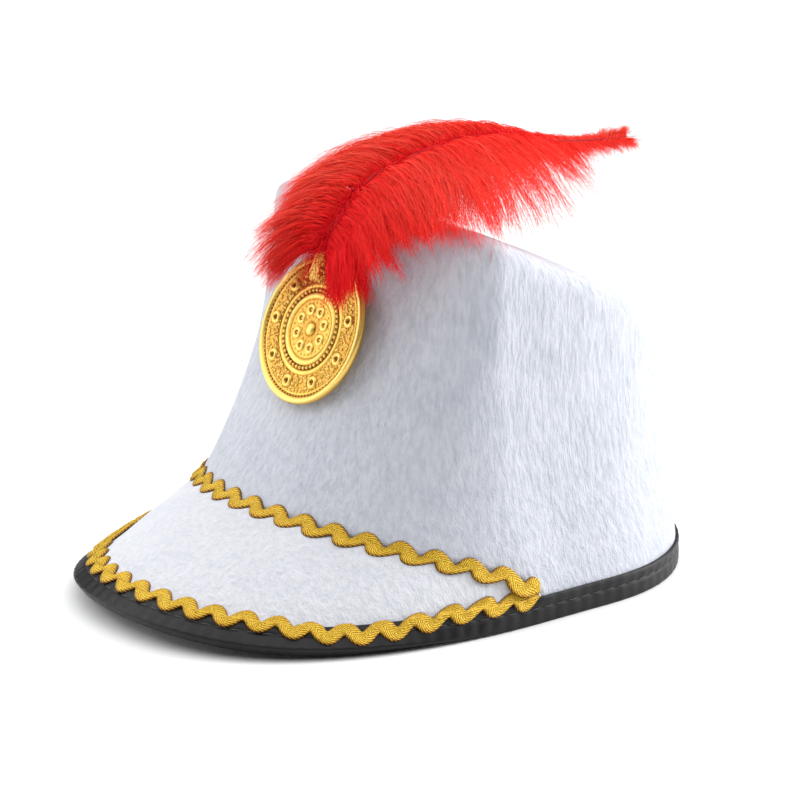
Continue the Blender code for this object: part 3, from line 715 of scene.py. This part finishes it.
def binding_section(stations):
    """The binding's section at each station: a tape folded round the felt's edge, with a seam."""
    low = edge(stations)
    upward, outward = edge_frame(stations)
    outer = BINDING_REACH
    inside = -FELT_THICKNESS - BINDING_GAP
    inner = inside - BINDING_THICKNESS
    corner = BINDING_THICKNESS * BINDING_CORNER
    top = BINDING_OUTER_FLANGE
    groove = SEAM_DEPTH

    def face(rise, stand):
        point, normal = on_felt(stations, rise)
        return point + normal * stand

    def foot(rise, stand):
        return low + upward * rise + outward * stand

    return [
        face(top, BINDING_GAP / 2),
        face(top, outer - corner),
        face(top - corner, outer),
        face(SEAM_HEIGHT + 3 * groove, outer),
        face(SEAM_HEIGHT + groove, outer - groove / 3),
        face(SEAM_HEIGHT, outer - groove),
        face(SEAM_HEIGHT - groove, outer - groove / 3),
        face(SEAM_HEIGHT - 3 * groove, outer),
        foot(0.0, outer),
        foot(-outer + corner, outer),
        foot(-outer, outer - corner),
        foot(-outer, inner + corner),
        foot(-outer + corner, inner),
        face(BINDING_INNER_FLANGE, inner),
        face(BINDING_INNER_FLANGE, inside),
        foot(-BINDING_GAP, inside),
        foot(-BINDING_GAP, BINDING_GAP / 2),
    ]


def build_binding(black, thread):
    """The edge binding, gently puckered between its stitches, and the stitches along its seam."""
    columns = hat_loop(BINDING_BACK_COLUMNS, BINDING_FRONT_COLUMNS)
    count = len(columns)
    sections = np.array(binding_section(columns))
    loop = np.concatenate([edge(columns), edge(columns[:1])])
    lengths = np.concatenate([[0], np.cumsum(np.linalg.norm(np.diff(loop, axis=0), axis=1))])
    outward = edge_frame(columns)[1]
    chance = ripple(sections[8], PUCKER_SIZE, PUCKER_SEED)
    pucker = np.sin(2 * math.pi * lengths[:-1] / STITCH_PITCH) + PUCKER_CHANCE * chance
    for row, share in PUCKERED_ROWS:
        sections[row] += outward * (pucker * BINDING_PUCKER * share)[:, None]
    size = len(sections)
    points = sections.transpose(1, 0, 2).reshape(-1, 3)
    faces = []
    for column in range(count):
        low, high = column * size, (column + 1) % count * size
        for corner in range(size):
            onward = (corner + 1) % size
            faces.append((low + corner, high + corner, high + onward, low + onward))
    binding = mesh_piece("black_binding", points, faces, black)
    around = np.repeat(lengths[:-1] * TO_MM, size)
    across = np.tile(np.arange(size) / size, count)
    place_uv(binding, np.stack([around, across], axis=1))
    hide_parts("edge_binding")
    build_stitches(thread, columns, lengths)


def build_stitches(thread, columns, lengths):
    """Short runs of thread that sink into the binding's seam at both ends."""
    stations = np.append(columns, columns[0] + 2 * FRONT_CENTRE)
    total = lengths[-1]
    stitches = round(total / STITCH_PITCH)
    steps, sides = 6, 6
    hump = np.sin(np.linspace(0, math.pi, steps)) * STITCH_RADIUS * STITCH_HUMP
    points = []
    faces = []
    for stitch in range(stitches):
        places = stitch * total / stitches + np.linspace(0, STITCH_LENGTH, steps)
        at = np.interp(places, lengths, stations)
        at = np.where(at >= 2 * FRONT_CENTRE, at - 2 * FRONT_CENTRE, at)
        seam, out = on_felt(at, np.full(steps, SEAM_HEIGHT))
        centre = seam + out * (BINDING_REACH - SEAM_DEPTH + hump)[:, None]
        side = np.cross(out, unit(np.gradient(centre, axis=0)))
        first = len(points)
        points.extend(tube_points(centre, out, side, np.full(steps, STITCH_RADIUS), sides))
        faces += grid_faces(steps, sides, ring=True, first=first) + end_faces(steps, sides, first)
    mesh_piece("binding_stitches", points, faces, thread)


def trim_surface():
    """Gold yarn laid in slanting strands, with painted shade in brown between the strands and along the
    ribbon's edges and a painted highlight on the strands.
    """
    gold = Surface("gold_ribbon", Roughness=0.36, Metallic=0.30)
    along, across = gold.along_and_across()
    out = gold.math("ABSOLUTE", across)
    slant = gold.mix(out, TRIM_SLANT, along)
    yarn = gold.math("SINE", gold.math("MULTIPLY", slant, 2 * math.pi / TRIM_YARN_MM))
    twist = gold.noise(gold.where(), scale=1700.0, roughness=0.65)
    strands = gold.mix(yarn, 0.20, twist)
    # Painted shade: darker between the strands and towards the ribbon's edges; painted highlight on the
    # strands
    edge_shade = gold.math("POWER", gold.math("DIVIDE", out, TRIM_HALF_MM), 5.0)
    tone = gold.math("SUBTRACT", strands, gold.math("MULTIPLY", edge_shade, 0.50))
    stops = (
        (0.08, (0.12, 0.045, 0.003)),
        (0.34, (0.52, 0.24, 0.006)),
        (0.54, (0.93, 0.56, 0.014)),
        (0.78, (1.00, 0.80, 0.09)),
    )
    gold.link(gold.ramp(tone, stops), "Base Color")
    gold.link(gold.bump(strands, distance=0.0004, strength=0.9), "Normal")
    return gold.material


def sag(station):
    """How far the peak's trim dips toward the binding, on the wearer's left."""
    away = np.abs(station - PEAK_TRIM_SAG_STATION) / PEAK_TRIM_SAG_SPREAD
    return PEAK_TRIM_SAG * (1 - ease(away))


def build_trim(name, node, gold, from_join):
    """A thick ribbon plaited in a wave, laid along the join or along the peak's edge."""
    dense, lengths = measured(join if from_join else edge, SIDE_FRONT, FULL_TURN_END)
    total = lengths[-1]
    waves = round(total / TRIM_WAVE)
    wave = total / waves
    half = TRIM_WIDTH / 2
    places = np.linspace(half, total - half, waves * STEPS_A_WAVE + 1)
    phase = 2 * math.pi * places / wave
    bend = -TRIM_BEND * TRIM_SWING * 2 * math.pi / wave * np.cos(phase)
    to_end = np.minimum(places, total - places)
    over_trim = TRIM_THICKNESS * (1 - ease((to_end - TRIM_OVERLAP) / TRIM_SETTLE))
    over_binding = BINDING_REACH * (1 - ease((to_end - BINDING_OVERLAP) / TRIM_SETTLE))
    shares = np.linspace(-1, 1, TRIM_COLUMNS)
    upper = []
    lower = []
    for share in shares:
        stations = np.interp(np.clip(places + bend * share * half, 0, total), lengths, dense)
        swing = TRIM_SWING * np.sin(phase) + share * half
        if from_join:
            rise = swing - CROWN_TRIM_DROP
            stand = TRIM_STAND + over_trim + over_binding
        else:
            rise = PEAK_TRIM_RISE - sag(stations) + swing
            off_binding = ease((rise - BINDING_OUTER_FLANGE) / BINDING_STEP_DOWN)
            stand = TRIM_STAND + BINDING_REACH * (1 - off_binding)
        felt, out = on_felt(stations, rise, from_join)
        arch = (1 - abs(share) ** TRIM_SQUARENESS) ** 0.5
        slant = places * TO_MM + TRIM_SLANT * abs(share) * TRIM_HALF_MM
        ridge = TRIM_RIDGE * np.sin(2 * math.pi * slant / TRIM_YARN_MM)
        upper.append(felt + out * (stand + (TRIM_THICKNESS + ridge) * arch)[:, None])
        lower.append(felt + out * stand[:, None])
    rings = np.array(upper + lower[::-1][1:-1]).transpose(1, 0, 2)
    count, size = rings.shape[:2]
    faces = [face[::-1] for face in grid_faces(count, size, ring=True)] + end_faces(count, size)
    trim = mesh_piece(name, rings.reshape(-1, 3), faces, gold)
    profile = np.concatenate([shares, shares[::-1][1:-1]]) * TRIM_HALF_MM
    place_uv(trim, np.stack([np.repeat(places * TO_MM, size), np.tile(profile, count)], axis=1))
    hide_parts(node)


def medallion_place():
    """The medallion's matrix: its own z points out of its face and its own y up its face."""
    seat = wall(FRONT_CENTRE, MEDALLION_HEIGHT)
    turn = Matrix.Rotation(math.radians(90 - MEDALLION_LEAN_DEG), 4, "X")
    return Matrix.Translation(tuple(seat)) @ turn @ Matrix.Translation((0, 0, MEDALLION_STAND))


# Profiles that are turned round an axis. Each row is a share of the radius, a share of the relief
# and how bright it is, and this one is the medallion's plate with its cast rings
MEDALLION_PROFILE = (
    (0.000, 0.60, 0.8),
    (0.100, 0.20, 0.2),
    (0.120, 0.30, 0.4),
    (0.380, 0.30, 0.6),
    (0.400, 0.20, 0.1),
    (0.430, 0.70, 0.9),
    (0.470, 0.75, 0.9),
    (0.490, 0.15, 0.0),
    (0.550, 0.15, 0.0),
    (0.570, 0.50, 0.8),
    (0.600, 0.50, 0.8),
    (0.615, 0.25, 0.3),
    (0.855, 0.25, 0.5),
    (0.870, 0.45, 0.8),
    (0.885, 0.15, 0.1),
    (0.905, 0.15, 0.1),
    (0.920, 0.80, 0.9),
    (0.955, 1.00, 1.0),
    (0.980, 0.90, 1.0),
    (0.997, 0.45, 0.8),
    (1.000, -0.20, 0.7),
    (0.990, -1.10, 0.4),
    (0.000, -1.10, 0.4),
)

# Rings of small cast dots. Ring and size are shares of the medallion's radius, height is a share of
# its relief and turn of the step from dot to dot
MEDALLION_DOTS = table(
    "ring count size height turn",
    (0.520, 46, 0.026, 0.60, 0.0),
    (0.895, 96, 0.013, 0.45, 0.0),
    (0.640, 44, 0.016, 0.35, 0.3),
    (0.672, 56, 0.014, 0.30, 0.0),
    (0.815, 64, 0.015, 0.30, 0.5),
    (0.842, 74, 0.014, 0.30, 0.2),
    (0.350, 30, 0.016, 0.35, 0.0),
    (0.170, 16, 0.018, 0.40, 0.5),
)

# Two rings of cast cups: bosses near the edge and petals in the middle
BOSSES = 9
BOSS_RING = 0.745
BOSS_SIZE = 0.080
BOSS_PROFILE = (
    (1.25, -0.10, 0.0),
    (1.00, 0.55, 0.8),
    (0.72, 0.80, 1.0),
    (0.48, 0.55, 0.5),
    (0.36, 0.10, 0.0),
    (0.00, 0.00, 0.0),
)
PETAL_PROFILE = (
    (1.20, -0.10, 0.0),
    (1.00, 0.40, 0.8),
    (0.62, 0.55, 1.0),
    (0.34, 0.10, 0.0),
    (0.00, 0.00, 0.0),
)
MEDALLION_CUPS = table(
    "count ring size sides profile",
    (BOSSES, BOSS_RING, BOSS_SIZE, 16, BOSS_PROFILE),
    (8, 0.262, 0.078, 12, PETAL_PROFILE),
)
DOT_TONE, FILL_TONE, GRAIN_TONE = 0.90, 0.85, 0.95
BAIL_TONE, POST_TONE = 0.15, 0.30
MIDDLE_SIZE, MIDDLE_FOOT, MIDDLE_HEIGHT = 0.085, 0.4, 0.7

# Small dots that fill the ground between the bosses, and grains on the bail
FILL_DOTS = 780
FILL_RING = (0.64, 0.85)
FILL_SIZE = (0.011, 0.025)
FILL_HEIGHT = 0.4
BOSS_ROOM = 1.3
BAIL_COLUMNS, BAIL_ROWS = 17, 19
BAIL_DOTS = 330
BAIL_DOT_SIZE = (0.00026, 0.00050)
BAIL_DOT_HEIGHT = 0.00045
BAIL_DOT_SINK = 0.0001
BAIL_MARGIN = 0.03


# A dot from its foot to its top, and the post from its front to its back
DOT_PROFILE = ((1.15, -0.30, 0.0), (1.00, 0.30, 0.55), (0.62, 0.85, 1.0), (0.05, 1.00, 1.0))
POST_PROFILE = ((1.0, 0.0, 1.0), (1.0, 1.0, 1.0), (0.0, 1.0, 1.0))


class Casting:
    """Collects the medallion's vertices, faces and tones in its own frame."""

    def __init__(self):
        self.points = []
        self.faces = []
        self.tones = []

    def turned(self, profile, centre, radius, base, height, tone=1.0, sides=12):
        """Turn a profile round an axis at a centre."""
        first = len(self.points)
        for width, rise, bright in profile:
            for side in range(sides):
                angle = 2 * math.pi * side / sides
                x = centre[0] + width * radius * math.cos(angle)
                y = centre[1] + width * radius * math.sin(angle)
                self.points.append((x, y, base + rise * height))
                self.tones.append(bright * tone)
        self.faces += grid_faces(len(profile), sides, ring=True, first=first)
        last = first + (len(profile) - 1) * sides
        if profile[-1][0] > 0:
            self.faces.append(tuple(range(last, last + sides)))

    def dot(self, centre, radius, base, height, tone, sides=7):
        """A small round bump, dark round its foot."""
        self.turned(DOT_PROFILE, centre, radius, base, height, tone, sides)


def round_face(angle, ring):
    """A place on the medallion's face, at an angle and a share of its radius from its middle."""
    return math.cos(angle) * ring * MEDALLION_RADIUS, math.sin(angle) * ring * MEDALLION_RADIUS


def build_medallion(brass):
    """The medallion: a cast plate with rings, cups and dots, a bail that holds the quill and a post."""
    cast = Casting()
    radius, relief = MEDALLION_RADIUS, MEDALLION_RELIEF
    face = MEDALLION_PLATE
    cast.turned(MEDALLION_PROFILE[::-1], (0.0, 0.0), radius, face, relief, sides=MEDALLION_SIDES)
    floor = face + FLOOR_RELIEF * relief
    for ring in MEDALLION_DOTS:
        for index in range(ring["count"]):
            centre = round_face(2 * math.pi * (index + ring["turn"]) / ring["count"], ring["ring"])
            cast.dot(centre, ring["size"] * radius, floor, ring["height"] * relief, DOT_TONE)
    for cup in MEDALLION_CUPS:
        for index in range(cup["count"]):
            centre = round_face(2 * math.pi * (index + 0.5) / cup["count"], cup["ring"])
            cast.turned(cup["profile"], centre, cup["size"] * radius, floor, relief, sides=cup["sides"])
    foot = face + MIDDLE_FOOT * relief
    cast.dot((0.0, 0.0), MIDDLE_SIZE * radius, foot, MIDDLE_HEIGHT * relief, 1.0, 16)
    scatter = np.random.default_rng(7)
    for _ in range(FILL_DOTS):
        ring = scatter.uniform(*FILL_RING)
        angle = scatter.uniform(0, 2 * math.pi)
        nearest = angle * BOSSES / (2 * math.pi) % 1.0 - 0.5
        if math.hypot(nearest * 2 * math.pi / BOSSES * ring, ring - BOSS_RING) < BOSS_SIZE * BOSS_ROOM:
            continue
        size = scatter.uniform(*FILL_SIZE) * radius
        cast.dot(round_face(angle, ring), size, floor, FILL_HEIGHT * relief, FILL_TONE, 6)
    build_bail(cast, scatter)
    place = np.array(medallion_place())
    world = np.array(cast.points) @ place[:3, :3].T + place[:3, 3]
    medallion = mesh_piece("cast_medallion", world, cast.faces, brass)
    place_tone(medallion, cast.tones)
    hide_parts("medallion")


def bail_surface(side, up):
    """A point of the bail's face in the medallion's frame, for shares across and up it."""
    arch = math.sqrt(max(0.0, 1 - abs(side) ** 4))
    drop = math.sqrt(max(0.0, 1 - abs(2 * up - 1) ** 8))
    half = BAIL_WIDTH / 2 * (1 + BAIL_FLARE * (1 - up) ** 2)
    z = MEDALLION_PLATE + BAIL_DEPTH * arch * drop
    return side * half, MEDALLION_RADIUS + BAIL_ABOVE - BAIL_DROP * (1 - up), z


def build_bail(cast, scatter):
    """The granular bail that holds the quill at the medallion's top, and the post behind."""
    first = len(cast.points)
    for up in np.linspace(0, 1, BAIL_ROWS):
        for side in np.linspace(-1, 1, BAIL_COLUMNS):
            cast.points.append(bail_surface(side, up))
            cast.tones.append(BAIL_TONE)
    cast.faces += grid_faces(BAIL_ROWS, BAIL_COLUMNS, first=first)
    near, far = BAIL_MARGIN, 1 - BAIL_MARGIN
    for _ in range(BAIL_DOTS):
        x, y, z = bail_surface(scatter.uniform(-far, far), scatter.uniform(near, far))
        size = scatter.uniform(*BAIL_DOT_SIZE)
        cast.dot((x, y), size, z - BAIL_DOT_SINK, BAIL_DOT_HEIGHT, GRAIN_TONE, 6)
    front, back = POST_ENDS
    cast.turned(POST_PROFILE, (0.0, 0.0), POST_RADIUS, front, back - front, POST_TONE)


def brass_surface():
    """Satin gold casting: bright on what stands up, brown in the recesses, finely grained."""
    brass = Surface("cast_gold", Metallic=0.85, Roughness=0.38)
    tone = brass.node("ShaderNodeAttribute", attribute_name="tone").outputs["Fac"]
    speckle = brass.noise(brass.where(), scale=1500.0, roughness=0.65)
    patchy = brass.noise(brass.where(), scale=240.0)
    mixed = brass.mix(tone, 0.62, brass.math("MULTIPLY", speckle, 0.42))
    stops = (
        (0.14, (0.10, 0.038, 0.004)),
        (0.36, (0.46, 0.22, 0.025)),
        (0.60, (0.90, 0.54, 0.10)),
        (0.90, (1.00, 0.76, 0.24)),
    )
    brass.link(brass.ramp(mixed, stops), "Base Color")
    brass.link(brass.spread(patchy, 0.30, 0.52), "Roughness")
    brass.link(brass.bump(speckle, distance=0.00018, strength=0.55), "Normal")
    return brass.material


def feather_root():
    """Where the quill starts: at the top of the medallion's bail."""
    top = MEDALLION_RADIUS + BAIL_ABOVE - QUILL_SINK
    front = MEDALLION_PLATE + MEDALLION_RELIEF + FEATHER_STAND
    return np.array((medallion_place() @ Matrix.Translation((0, top, front))).to_translation())


def stem(along):
    """Points on the feather's stem."""
    along = np.asarray(along, dtype=float)
    back = FEATHER_RUN * smooth(STEM_ROWS, "back", along)
    rise = FEATHER_RISE * smooth(STEM_ROWS, "rise", along)
    sway = FEATHER_SWAY * smooth(STEM_ROWS, "sway", along)
    return feather_root() + np.stack([sway, back, rise], axis=-1)


def clear_of_crown(points):
    """Move points out of the crown, to just above its top or just ahead of its front."""
    x, y, z = points[..., 0], points[..., 1], points[..., 2]
    half_width, front, back = wall_sizes(z)
    ahead = np.clip(FRONT_LINE - y, 0, None)
    behind = np.clip(y - BACK_LINE, 0, None)
    width_share = np.clip(np.abs(x) / half_width, 0, 1)
    in_front = (ahead / front) ** FRONT_ROUNDNESS + width_share**FRONT_ROUNDNESS < 1
    in_back = (behind / back) ** BACK_ROUNDNESS + width_share**BACK_ROUNDNESS < 1
    corner = wall(FRONT_CENTRE, CROWN_HEIGHT)[1]
    slope = math.tan(math.radians(TOP_SLOPE_DEG))
    top = CROWN_HEIGHT - slope * (y - corner) + TOP_DOME * (1 - width_share**2) + BARB_CLEARANCE
    inside = in_front & in_back & (z < top)
    round_front = (1 - width_share**FRONT_ROUNDNESS) ** (1 / FRONT_ROUNDNESS)
    face = FRONT_LINE - front * round_front - BARB_CLEARANCE
    forward_push = np.where(ahead > 0, y - face, 1.0)
    over = inside & (top - z <= forward_push)
    out = inside & ~over
    moved = points.copy()
    moved[..., 2] = np.where(over, top, z)
    moved[..., 1] = np.where(out, face, y)
    return moved


def barb_curves(rows, side, along, spread, share):
    """Curves of barbs from the stem: they arch out, then hang."""
    out = smooth(rows, "out", along) * (1 + spread[:, 0])
    back = smooth(rows, "back", along) + spread[:, 1]
    down = smooth(rows, "down", along) * (1 + spread[:, 2]) + spread[:, 3]
    reach = BARB_REACH * share
    arch = (NEAR_ARCH if side > 0 else FAR_ARCH) * 4 * share * (1 - share)
    sideways = side * out[:, None] * reach
    backward = back[:, None] * reach * (BACK_AT_ROOT + (1 - BACK_AT_ROOT) * share)
    upward = arch * np.minimum(out, 1)[:, None] - down[:, None] * reach * share**HANG_EASE
    root = stem(along) + np.array([side * BARB_ROOT[0], 0.0, BARB_ROOT[1]])
    return root[:, None, :] + np.stack([sideways, backward, upward], axis=-1)


def ribbon_piece(name, curves, facing, width, tones, red):
    """A piece of thin ribbons along curves, narrowing to their ends, with a tone at every point."""
    count, steps = curves.shape[:2]
    across = unit(np.cross(unit(np.gradient(curves, axis=1)), facing))
    taper = 1 - RIBBON_TAPER * np.linspace(0, 1, steps)
    half = across * (taper * width[:, None] / 2)[..., None]
    points = np.stack([curves - half, curves + half], axis=2).reshape(-1, 3)
    first = (np.arange(count) * steps * 2)[:, None] + np.arange(steps - 1) * 2
    corners = first[..., None] + np.array([0, 1, 3, 2])
    piece = mesh_piece(name, points, corners.reshape(-1, 4).tolist(), red)
    place_tone(piece, np.repeat(tones.ravel(), 2))


def barb_tone(points, share, chance, side_painted_light=0.0):
    """Painted light and shade: orange-red high up and towards the tips, crimson low down and at the roots,
    with an extra lift of painted light for the far side; some chance adds each barb's own tone.
    """
    height = np.clip((points[..., 2] - PAINTED_LIGHT_LOW_HEIGHT) / (PAINTED_LIGHT_HIGH_HEIGHT - PAINTED_LIGHT_LOW_HEIGHT), 0, 1)
    own = chance.uniform(0, 1, len(points))[:, None]
    return np.clip(HEIGHT_PAINTED_LIGHT * height + (TIP_PAINTED_LIGHT + side_painted_light) * share + CHANCE_TONE * own, 0, 1)


def build_barbs(name, rows, side, seed, clumping, red):
    """One side's barbs as fine ribbons, drawn together into locks towards their tips."""
    chance = np.random.default_rng(seed)
    count = BARBS_A_SIDE
    crowded = chance.uniform(0, 1, count) ** BARB_CROWDING
    along = np.sort(FIRST_BARB + (LAST_BARB - FIRST_BARB) * crowded)
    share = np.linspace(0, 1, BARB_POINTS)
    own = barb_curves(rows, side, along, chance.normal(0, 1, (count, 4)) * BARB_SPREAD, share)
    step = np.arange(LOCKS_A_SIDE) + chance.uniform(0, 1, LOCKS_A_SIDE)
    lock_along = np.clip(step / LOCKS_A_SIDE * LAST_BARB, FIRST_LOCK, LAST_BARB)
    lock_spread = chance.normal(0, 1, (LOCKS_A_SIDE, 4)) * LOCK_SPREAD
    locks = barb_curves(rows, side, lock_along, lock_spread, share)
    own_place = along + chance.normal(0, LOCK_MIXING, count)
    member = np.argmin(np.abs(own_place[:, None] - lock_along), axis=1)
    pull = clumping * chance.uniform(*PULL_RANGE, count)[:, None] * share**PULL_EASE
    pull = np.clip(pull, 0, FULL_PULL)[..., None]
    size = np.linalg.norm(own[:, -1] - own[:, 0], axis=1)[:, None, None] / BARB_REACH
    loose = chance.normal(0, LOOSE_TIPS, (count, 1, 3)) * share[:, None] * size
    turn = np.sin(share * math.pi * CURL_TURN)[:, None]
    curl = chance.normal(0, BARB_CURL, (count, 1, 3)) * turn * size
    points = own * (1 - pull) + locks[member] * pull + loose + curl
    length = chance.uniform(*LONG_BARBS, count) ** LONG_EASE
    short = SHORTEST_BARB + (1 - SHORTEST_BARB) * chance.uniform(0, 1, count) ** SHORT_EASE
    is_short = chance.uniform(0, 1, count) < ease((along - THIN_FROM) / THIN_SPREAD)
    if side > 0:
        length = np.where(is_short, short, length)
    points = clear_of_crown(points[:, :1] + (points - points[:, :1]) * length[:, None, None])
    facing = chance.normal(0, 1, (count, 1, 3)) + np.array([side * 0.8, -0.8, 1.0])
    width = BARB_WIDTH * chance.uniform(0.7, 1.3, count)
    # Painted light: lighter high up, towards the tips and on the far side; painted shade low down
    tones = barb_tone(points, share, chance, FAR_SIDE_PAINTED_LIGHT * (side < 0))
    ribbon_piece(name, points, facing, width, tones, red)
    return points


def build_fibres(name, starts, bend, width, facing, chance, red, tone=1.0):
    """Short fibres from their starts, kept clear of the crown."""
    curves = clear_of_crown(starts[:, None, :] + bend)
    count, steps = curves.shape[:2]
    facing = chance.normal(0, 1, (count, 1, 3)) + facing
    tones = barb_tone(curves, np.linspace(0, 1, steps), chance) * tone
    ribbon_piece(name, curves, facing, np.full(count, width), tones, red)


def build_down(red):
    """Short soft down round the quill, between the two sides' barbs."""
    chance = np.random.default_rng(31)
    share = np.linspace(0, 1, DOWN_POINTS)[:, None]
    along = chance.uniform(*DOWN_STRETCH, DOWN_BARBS)
    way = unit(np.stack([chance.uniform(*limits, DOWN_BARBS) for limits in DOWN_WAYS], axis=1))
    length = chance.uniform(*DOWN_LENGTH, DOWN_BARBS)[:, None, None]
    curl = chance.normal(0, DOWN_CURL, (DOWN_BARBS, 1, 3)) * np.sin(share * math.pi * 2)
    bend = (way[:, None, :] * share + UP * DOWN_SINK * share**2 + curl) * length
    # The down is painted darker, as painted shade in the hollow round the quill
    build_fibres("quill_down", stem(along), bend, BARB_WIDTH, (0.3, -0.8, 1.0), chance, red, DOWN_PAINTED_SHADE)


def build_fuzz(barbs, red):
    """Fine side fibres that grow out of the barbs' outer stretches."""
    chance = np.random.default_rng(47)
    barb = chance.integers(0, len(barbs), FUZZ_FIBRES)
    point = chance.integers(FUZZ_FROM_POINT, BARB_POINTS - 1, FUZZ_FIBRES)
    start = barbs[barb, point]
    onward = unit(barbs[barb, point + 1] - start)
    way = onward * FUZZ_ONWARD + chance.normal(0, FUZZ_ASIDE, (FUZZ_FIBRES, 3))
    share = np.linspace(0, 1, FUZZ_POINTS)[:, None]
    length = chance.uniform(*FUZZ_LENGTH, FUZZ_FIBRES)[:, None, None]
    bend = (way[:, None, :] * share + UP * FUZZ_SINK * share**2) * length
    build_fibres("barb_fuzz", start, bend, FUZZ_WIDTH, (0.3, -0.8, 0.6), chance, red)


def barb_surface():
    """Red down: painted shade in crimson low in the feather, painted light in orange-red on its top, each
    barb a little different.
    """
    red = Surface("red_barbs", Roughness=0.7, Specular_IOR_Level=0.12)
    tone = red.node("ShaderNodeAttribute", attribute_name="tone").outputs["Fac"]
    stops = (
        (0.05, (0.62, 0.001, 0.008)),
        (0.35, (0.88, 0.006, 0.014)),
        (0.65, (1.00, 0.036, 0.026)),
        (0.95, (1.00, 0.110, 0.070)),
    )
    red.link(red.ramp(tone, stops), "Base Color")
    return red.material


def build_quill(shaft):
    """The feather's stem: a tapering tube."""
    steps, sides = 60, 8
    share = np.linspace(0, 1, steps)
    centre = stem(share)
    tangent = unit(np.gradient(centre, axis=0))
    side = unit(np.cross(tangent, (1.0, 0.0, 0.0)))
    radii = QUILL_RADIUS * (1 - QUILL_TAPER * share)
    points = tube_points(centre, side, np.cross(tangent, side), radii, sides)
    faces = grid_faces(steps, sides, ring=True) + end_faces(steps, sides)
    quill = mesh_piece("feather_quill", points, faces, shaft)
    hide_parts("feather")


def streaky_surface(name, roughness, stretch, scale, detail, strength, colours):
    """Dyed quill or twisted thread, with fine streaks of varied tone that are darker in their grooves as
    painted shade.
    """
    made = Surface(name, Roughness=roughness)
    streaks = made.noise(made.where(stretch), scale, detail)
    made.link(made.ramp(streaks, colours), "Base Color")
    made.link(made.bump(streaks, distance=0.0001, strength=strength), "Normal")
    return made.material


def shaft_surface():
    """Dyed quill: dark red with long streaks."""
    colours = ((0.3, (0.16, 0.006, 0.008)), (0.75, (0.42, 0.020, 0.018)))
    return streaky_surface("quill_red", 0.4, (6.0, 1.0, 1.0), 300.0, 3.0, 0.5, colours)


def thread_surface():
    """Black thread with a fine twist."""
    colours = ((0.3, (0.03, 0.03, 0.033)), (0.8, (0.12, 0.12, 0.125)))
    return streaky_surface("black_thread", 0.55, (1.0, 1.0, 4.0), 2400.0, 2.0, 0.6, colours)


def camera_axes():
    """The camera's directions: to its right, up and back from the hat."""
    azimuth = math.radians(CAMERA_AZIMUTH_DEG)
    elevation = math.radians(CAMERA_ELEVATION_DEG)
    level = np.array([math.sin(azimuth), -math.cos(azimuth), 0.0])
    back = level * math.cos(elevation) + UP * math.sin(elevation)
    right = np.array([math.cos(azimuth), math.sin(azimuth), 0.0])
    return right, np.cross(back, right), back


def add_camera():
    """The camera at the photograph's angle and distance."""
    lens = bpy.data.cameras.new("camera")
    lens.lens = CAMERA_LENS_MM
    lens.sensor_width = SENSOR_MM
    camera = add_object("camera", lens)
    right, up, back = camera_axes()
    place_object(camera, right, up, back, np.array(CAMERA_TARGET) + back * CAMERA_DISTANCE)
    bpy.context.scene.camera = camera


def add_softbox(name, direction, distance, size, watts):
    """A soft light that faces the hat."""
    right, _, back = camera_axes()
    away = unit(direction[0] * right + direction[1] * UP + direction[2] * back)
    light = bpy.data.lights.new(name, "AREA")
    light.shape = "RECTANGLE"
    light.size, light.size_y = size
    light.energy = watts
    side = unit(np.cross(UP, away))
    place_object(add_object(name, light), side, np.cross(away, side), away, LIGHT_TARGET + away * distance)


def add_studio():
    """A white floor that runs out of view and soft lights to both sides and above."""
    reach = FLOOR_REACH
    corners = [(-reach, -reach, 0), (reach, -reach, 0), (reach, reach, 0), (-reach, reach, 0)]
    paint = Surface("floor_white", Roughness=0.9, Base_Color=FLOOR_COLOUR)
    add_mesh("floor", corners, [(0, 1, 2, 3)], paint.material)
    world = bpy.data.worlds.new("studio")
    world.use_nodes = True
    background = world.node_tree.nodes["Background"]
    background.inputs["Color"].default_value = SKY_COLOUR
    background.inputs["Strength"].default_value = SKY_STRENGTH
    bpy.context.scene.world = world
    bpy.context.scene.view_settings.view_transform = "Standard"
    for light in LIGHTS:
        add_softbox(**light)


def main():
    # Crown and peak are one white felt: the crown's colours are painted darker and a little bluer than the
    # peak's, as painted shade
    build_felt(
        felt_surface("white_felt", light=(0.65, 0.67, 0.735), shade=(0.50, 0.53, 0.60)),
        felt_surface("white_peak_felt", light=(0.80, 0.81, 0.865), shade=(0.68, 0.70, 0.765)),
    )
    build_binding(binding_surface(), thread_surface())
    gold = trim_surface()
    build_trim("crown_ribbon", "crown_trim", gold, True)
    build_trim("peak_ribbon", "peak_trim", gold, False)
    build_medallion(brass_surface())
    build_quill(shaft_surface())
    red = barb_surface()
    near = build_barbs("near_barbs", NEAR_BARBS, 1, 11, NEAR_PULL, red)
    far = build_barbs("far_barbs", FAR_BARBS, -1, 23, FAR_PULL, red)
    build_down(red)
    build_fuzz(np.concatenate([near, far]), red)
    add_camera()
    add_studio()


main()
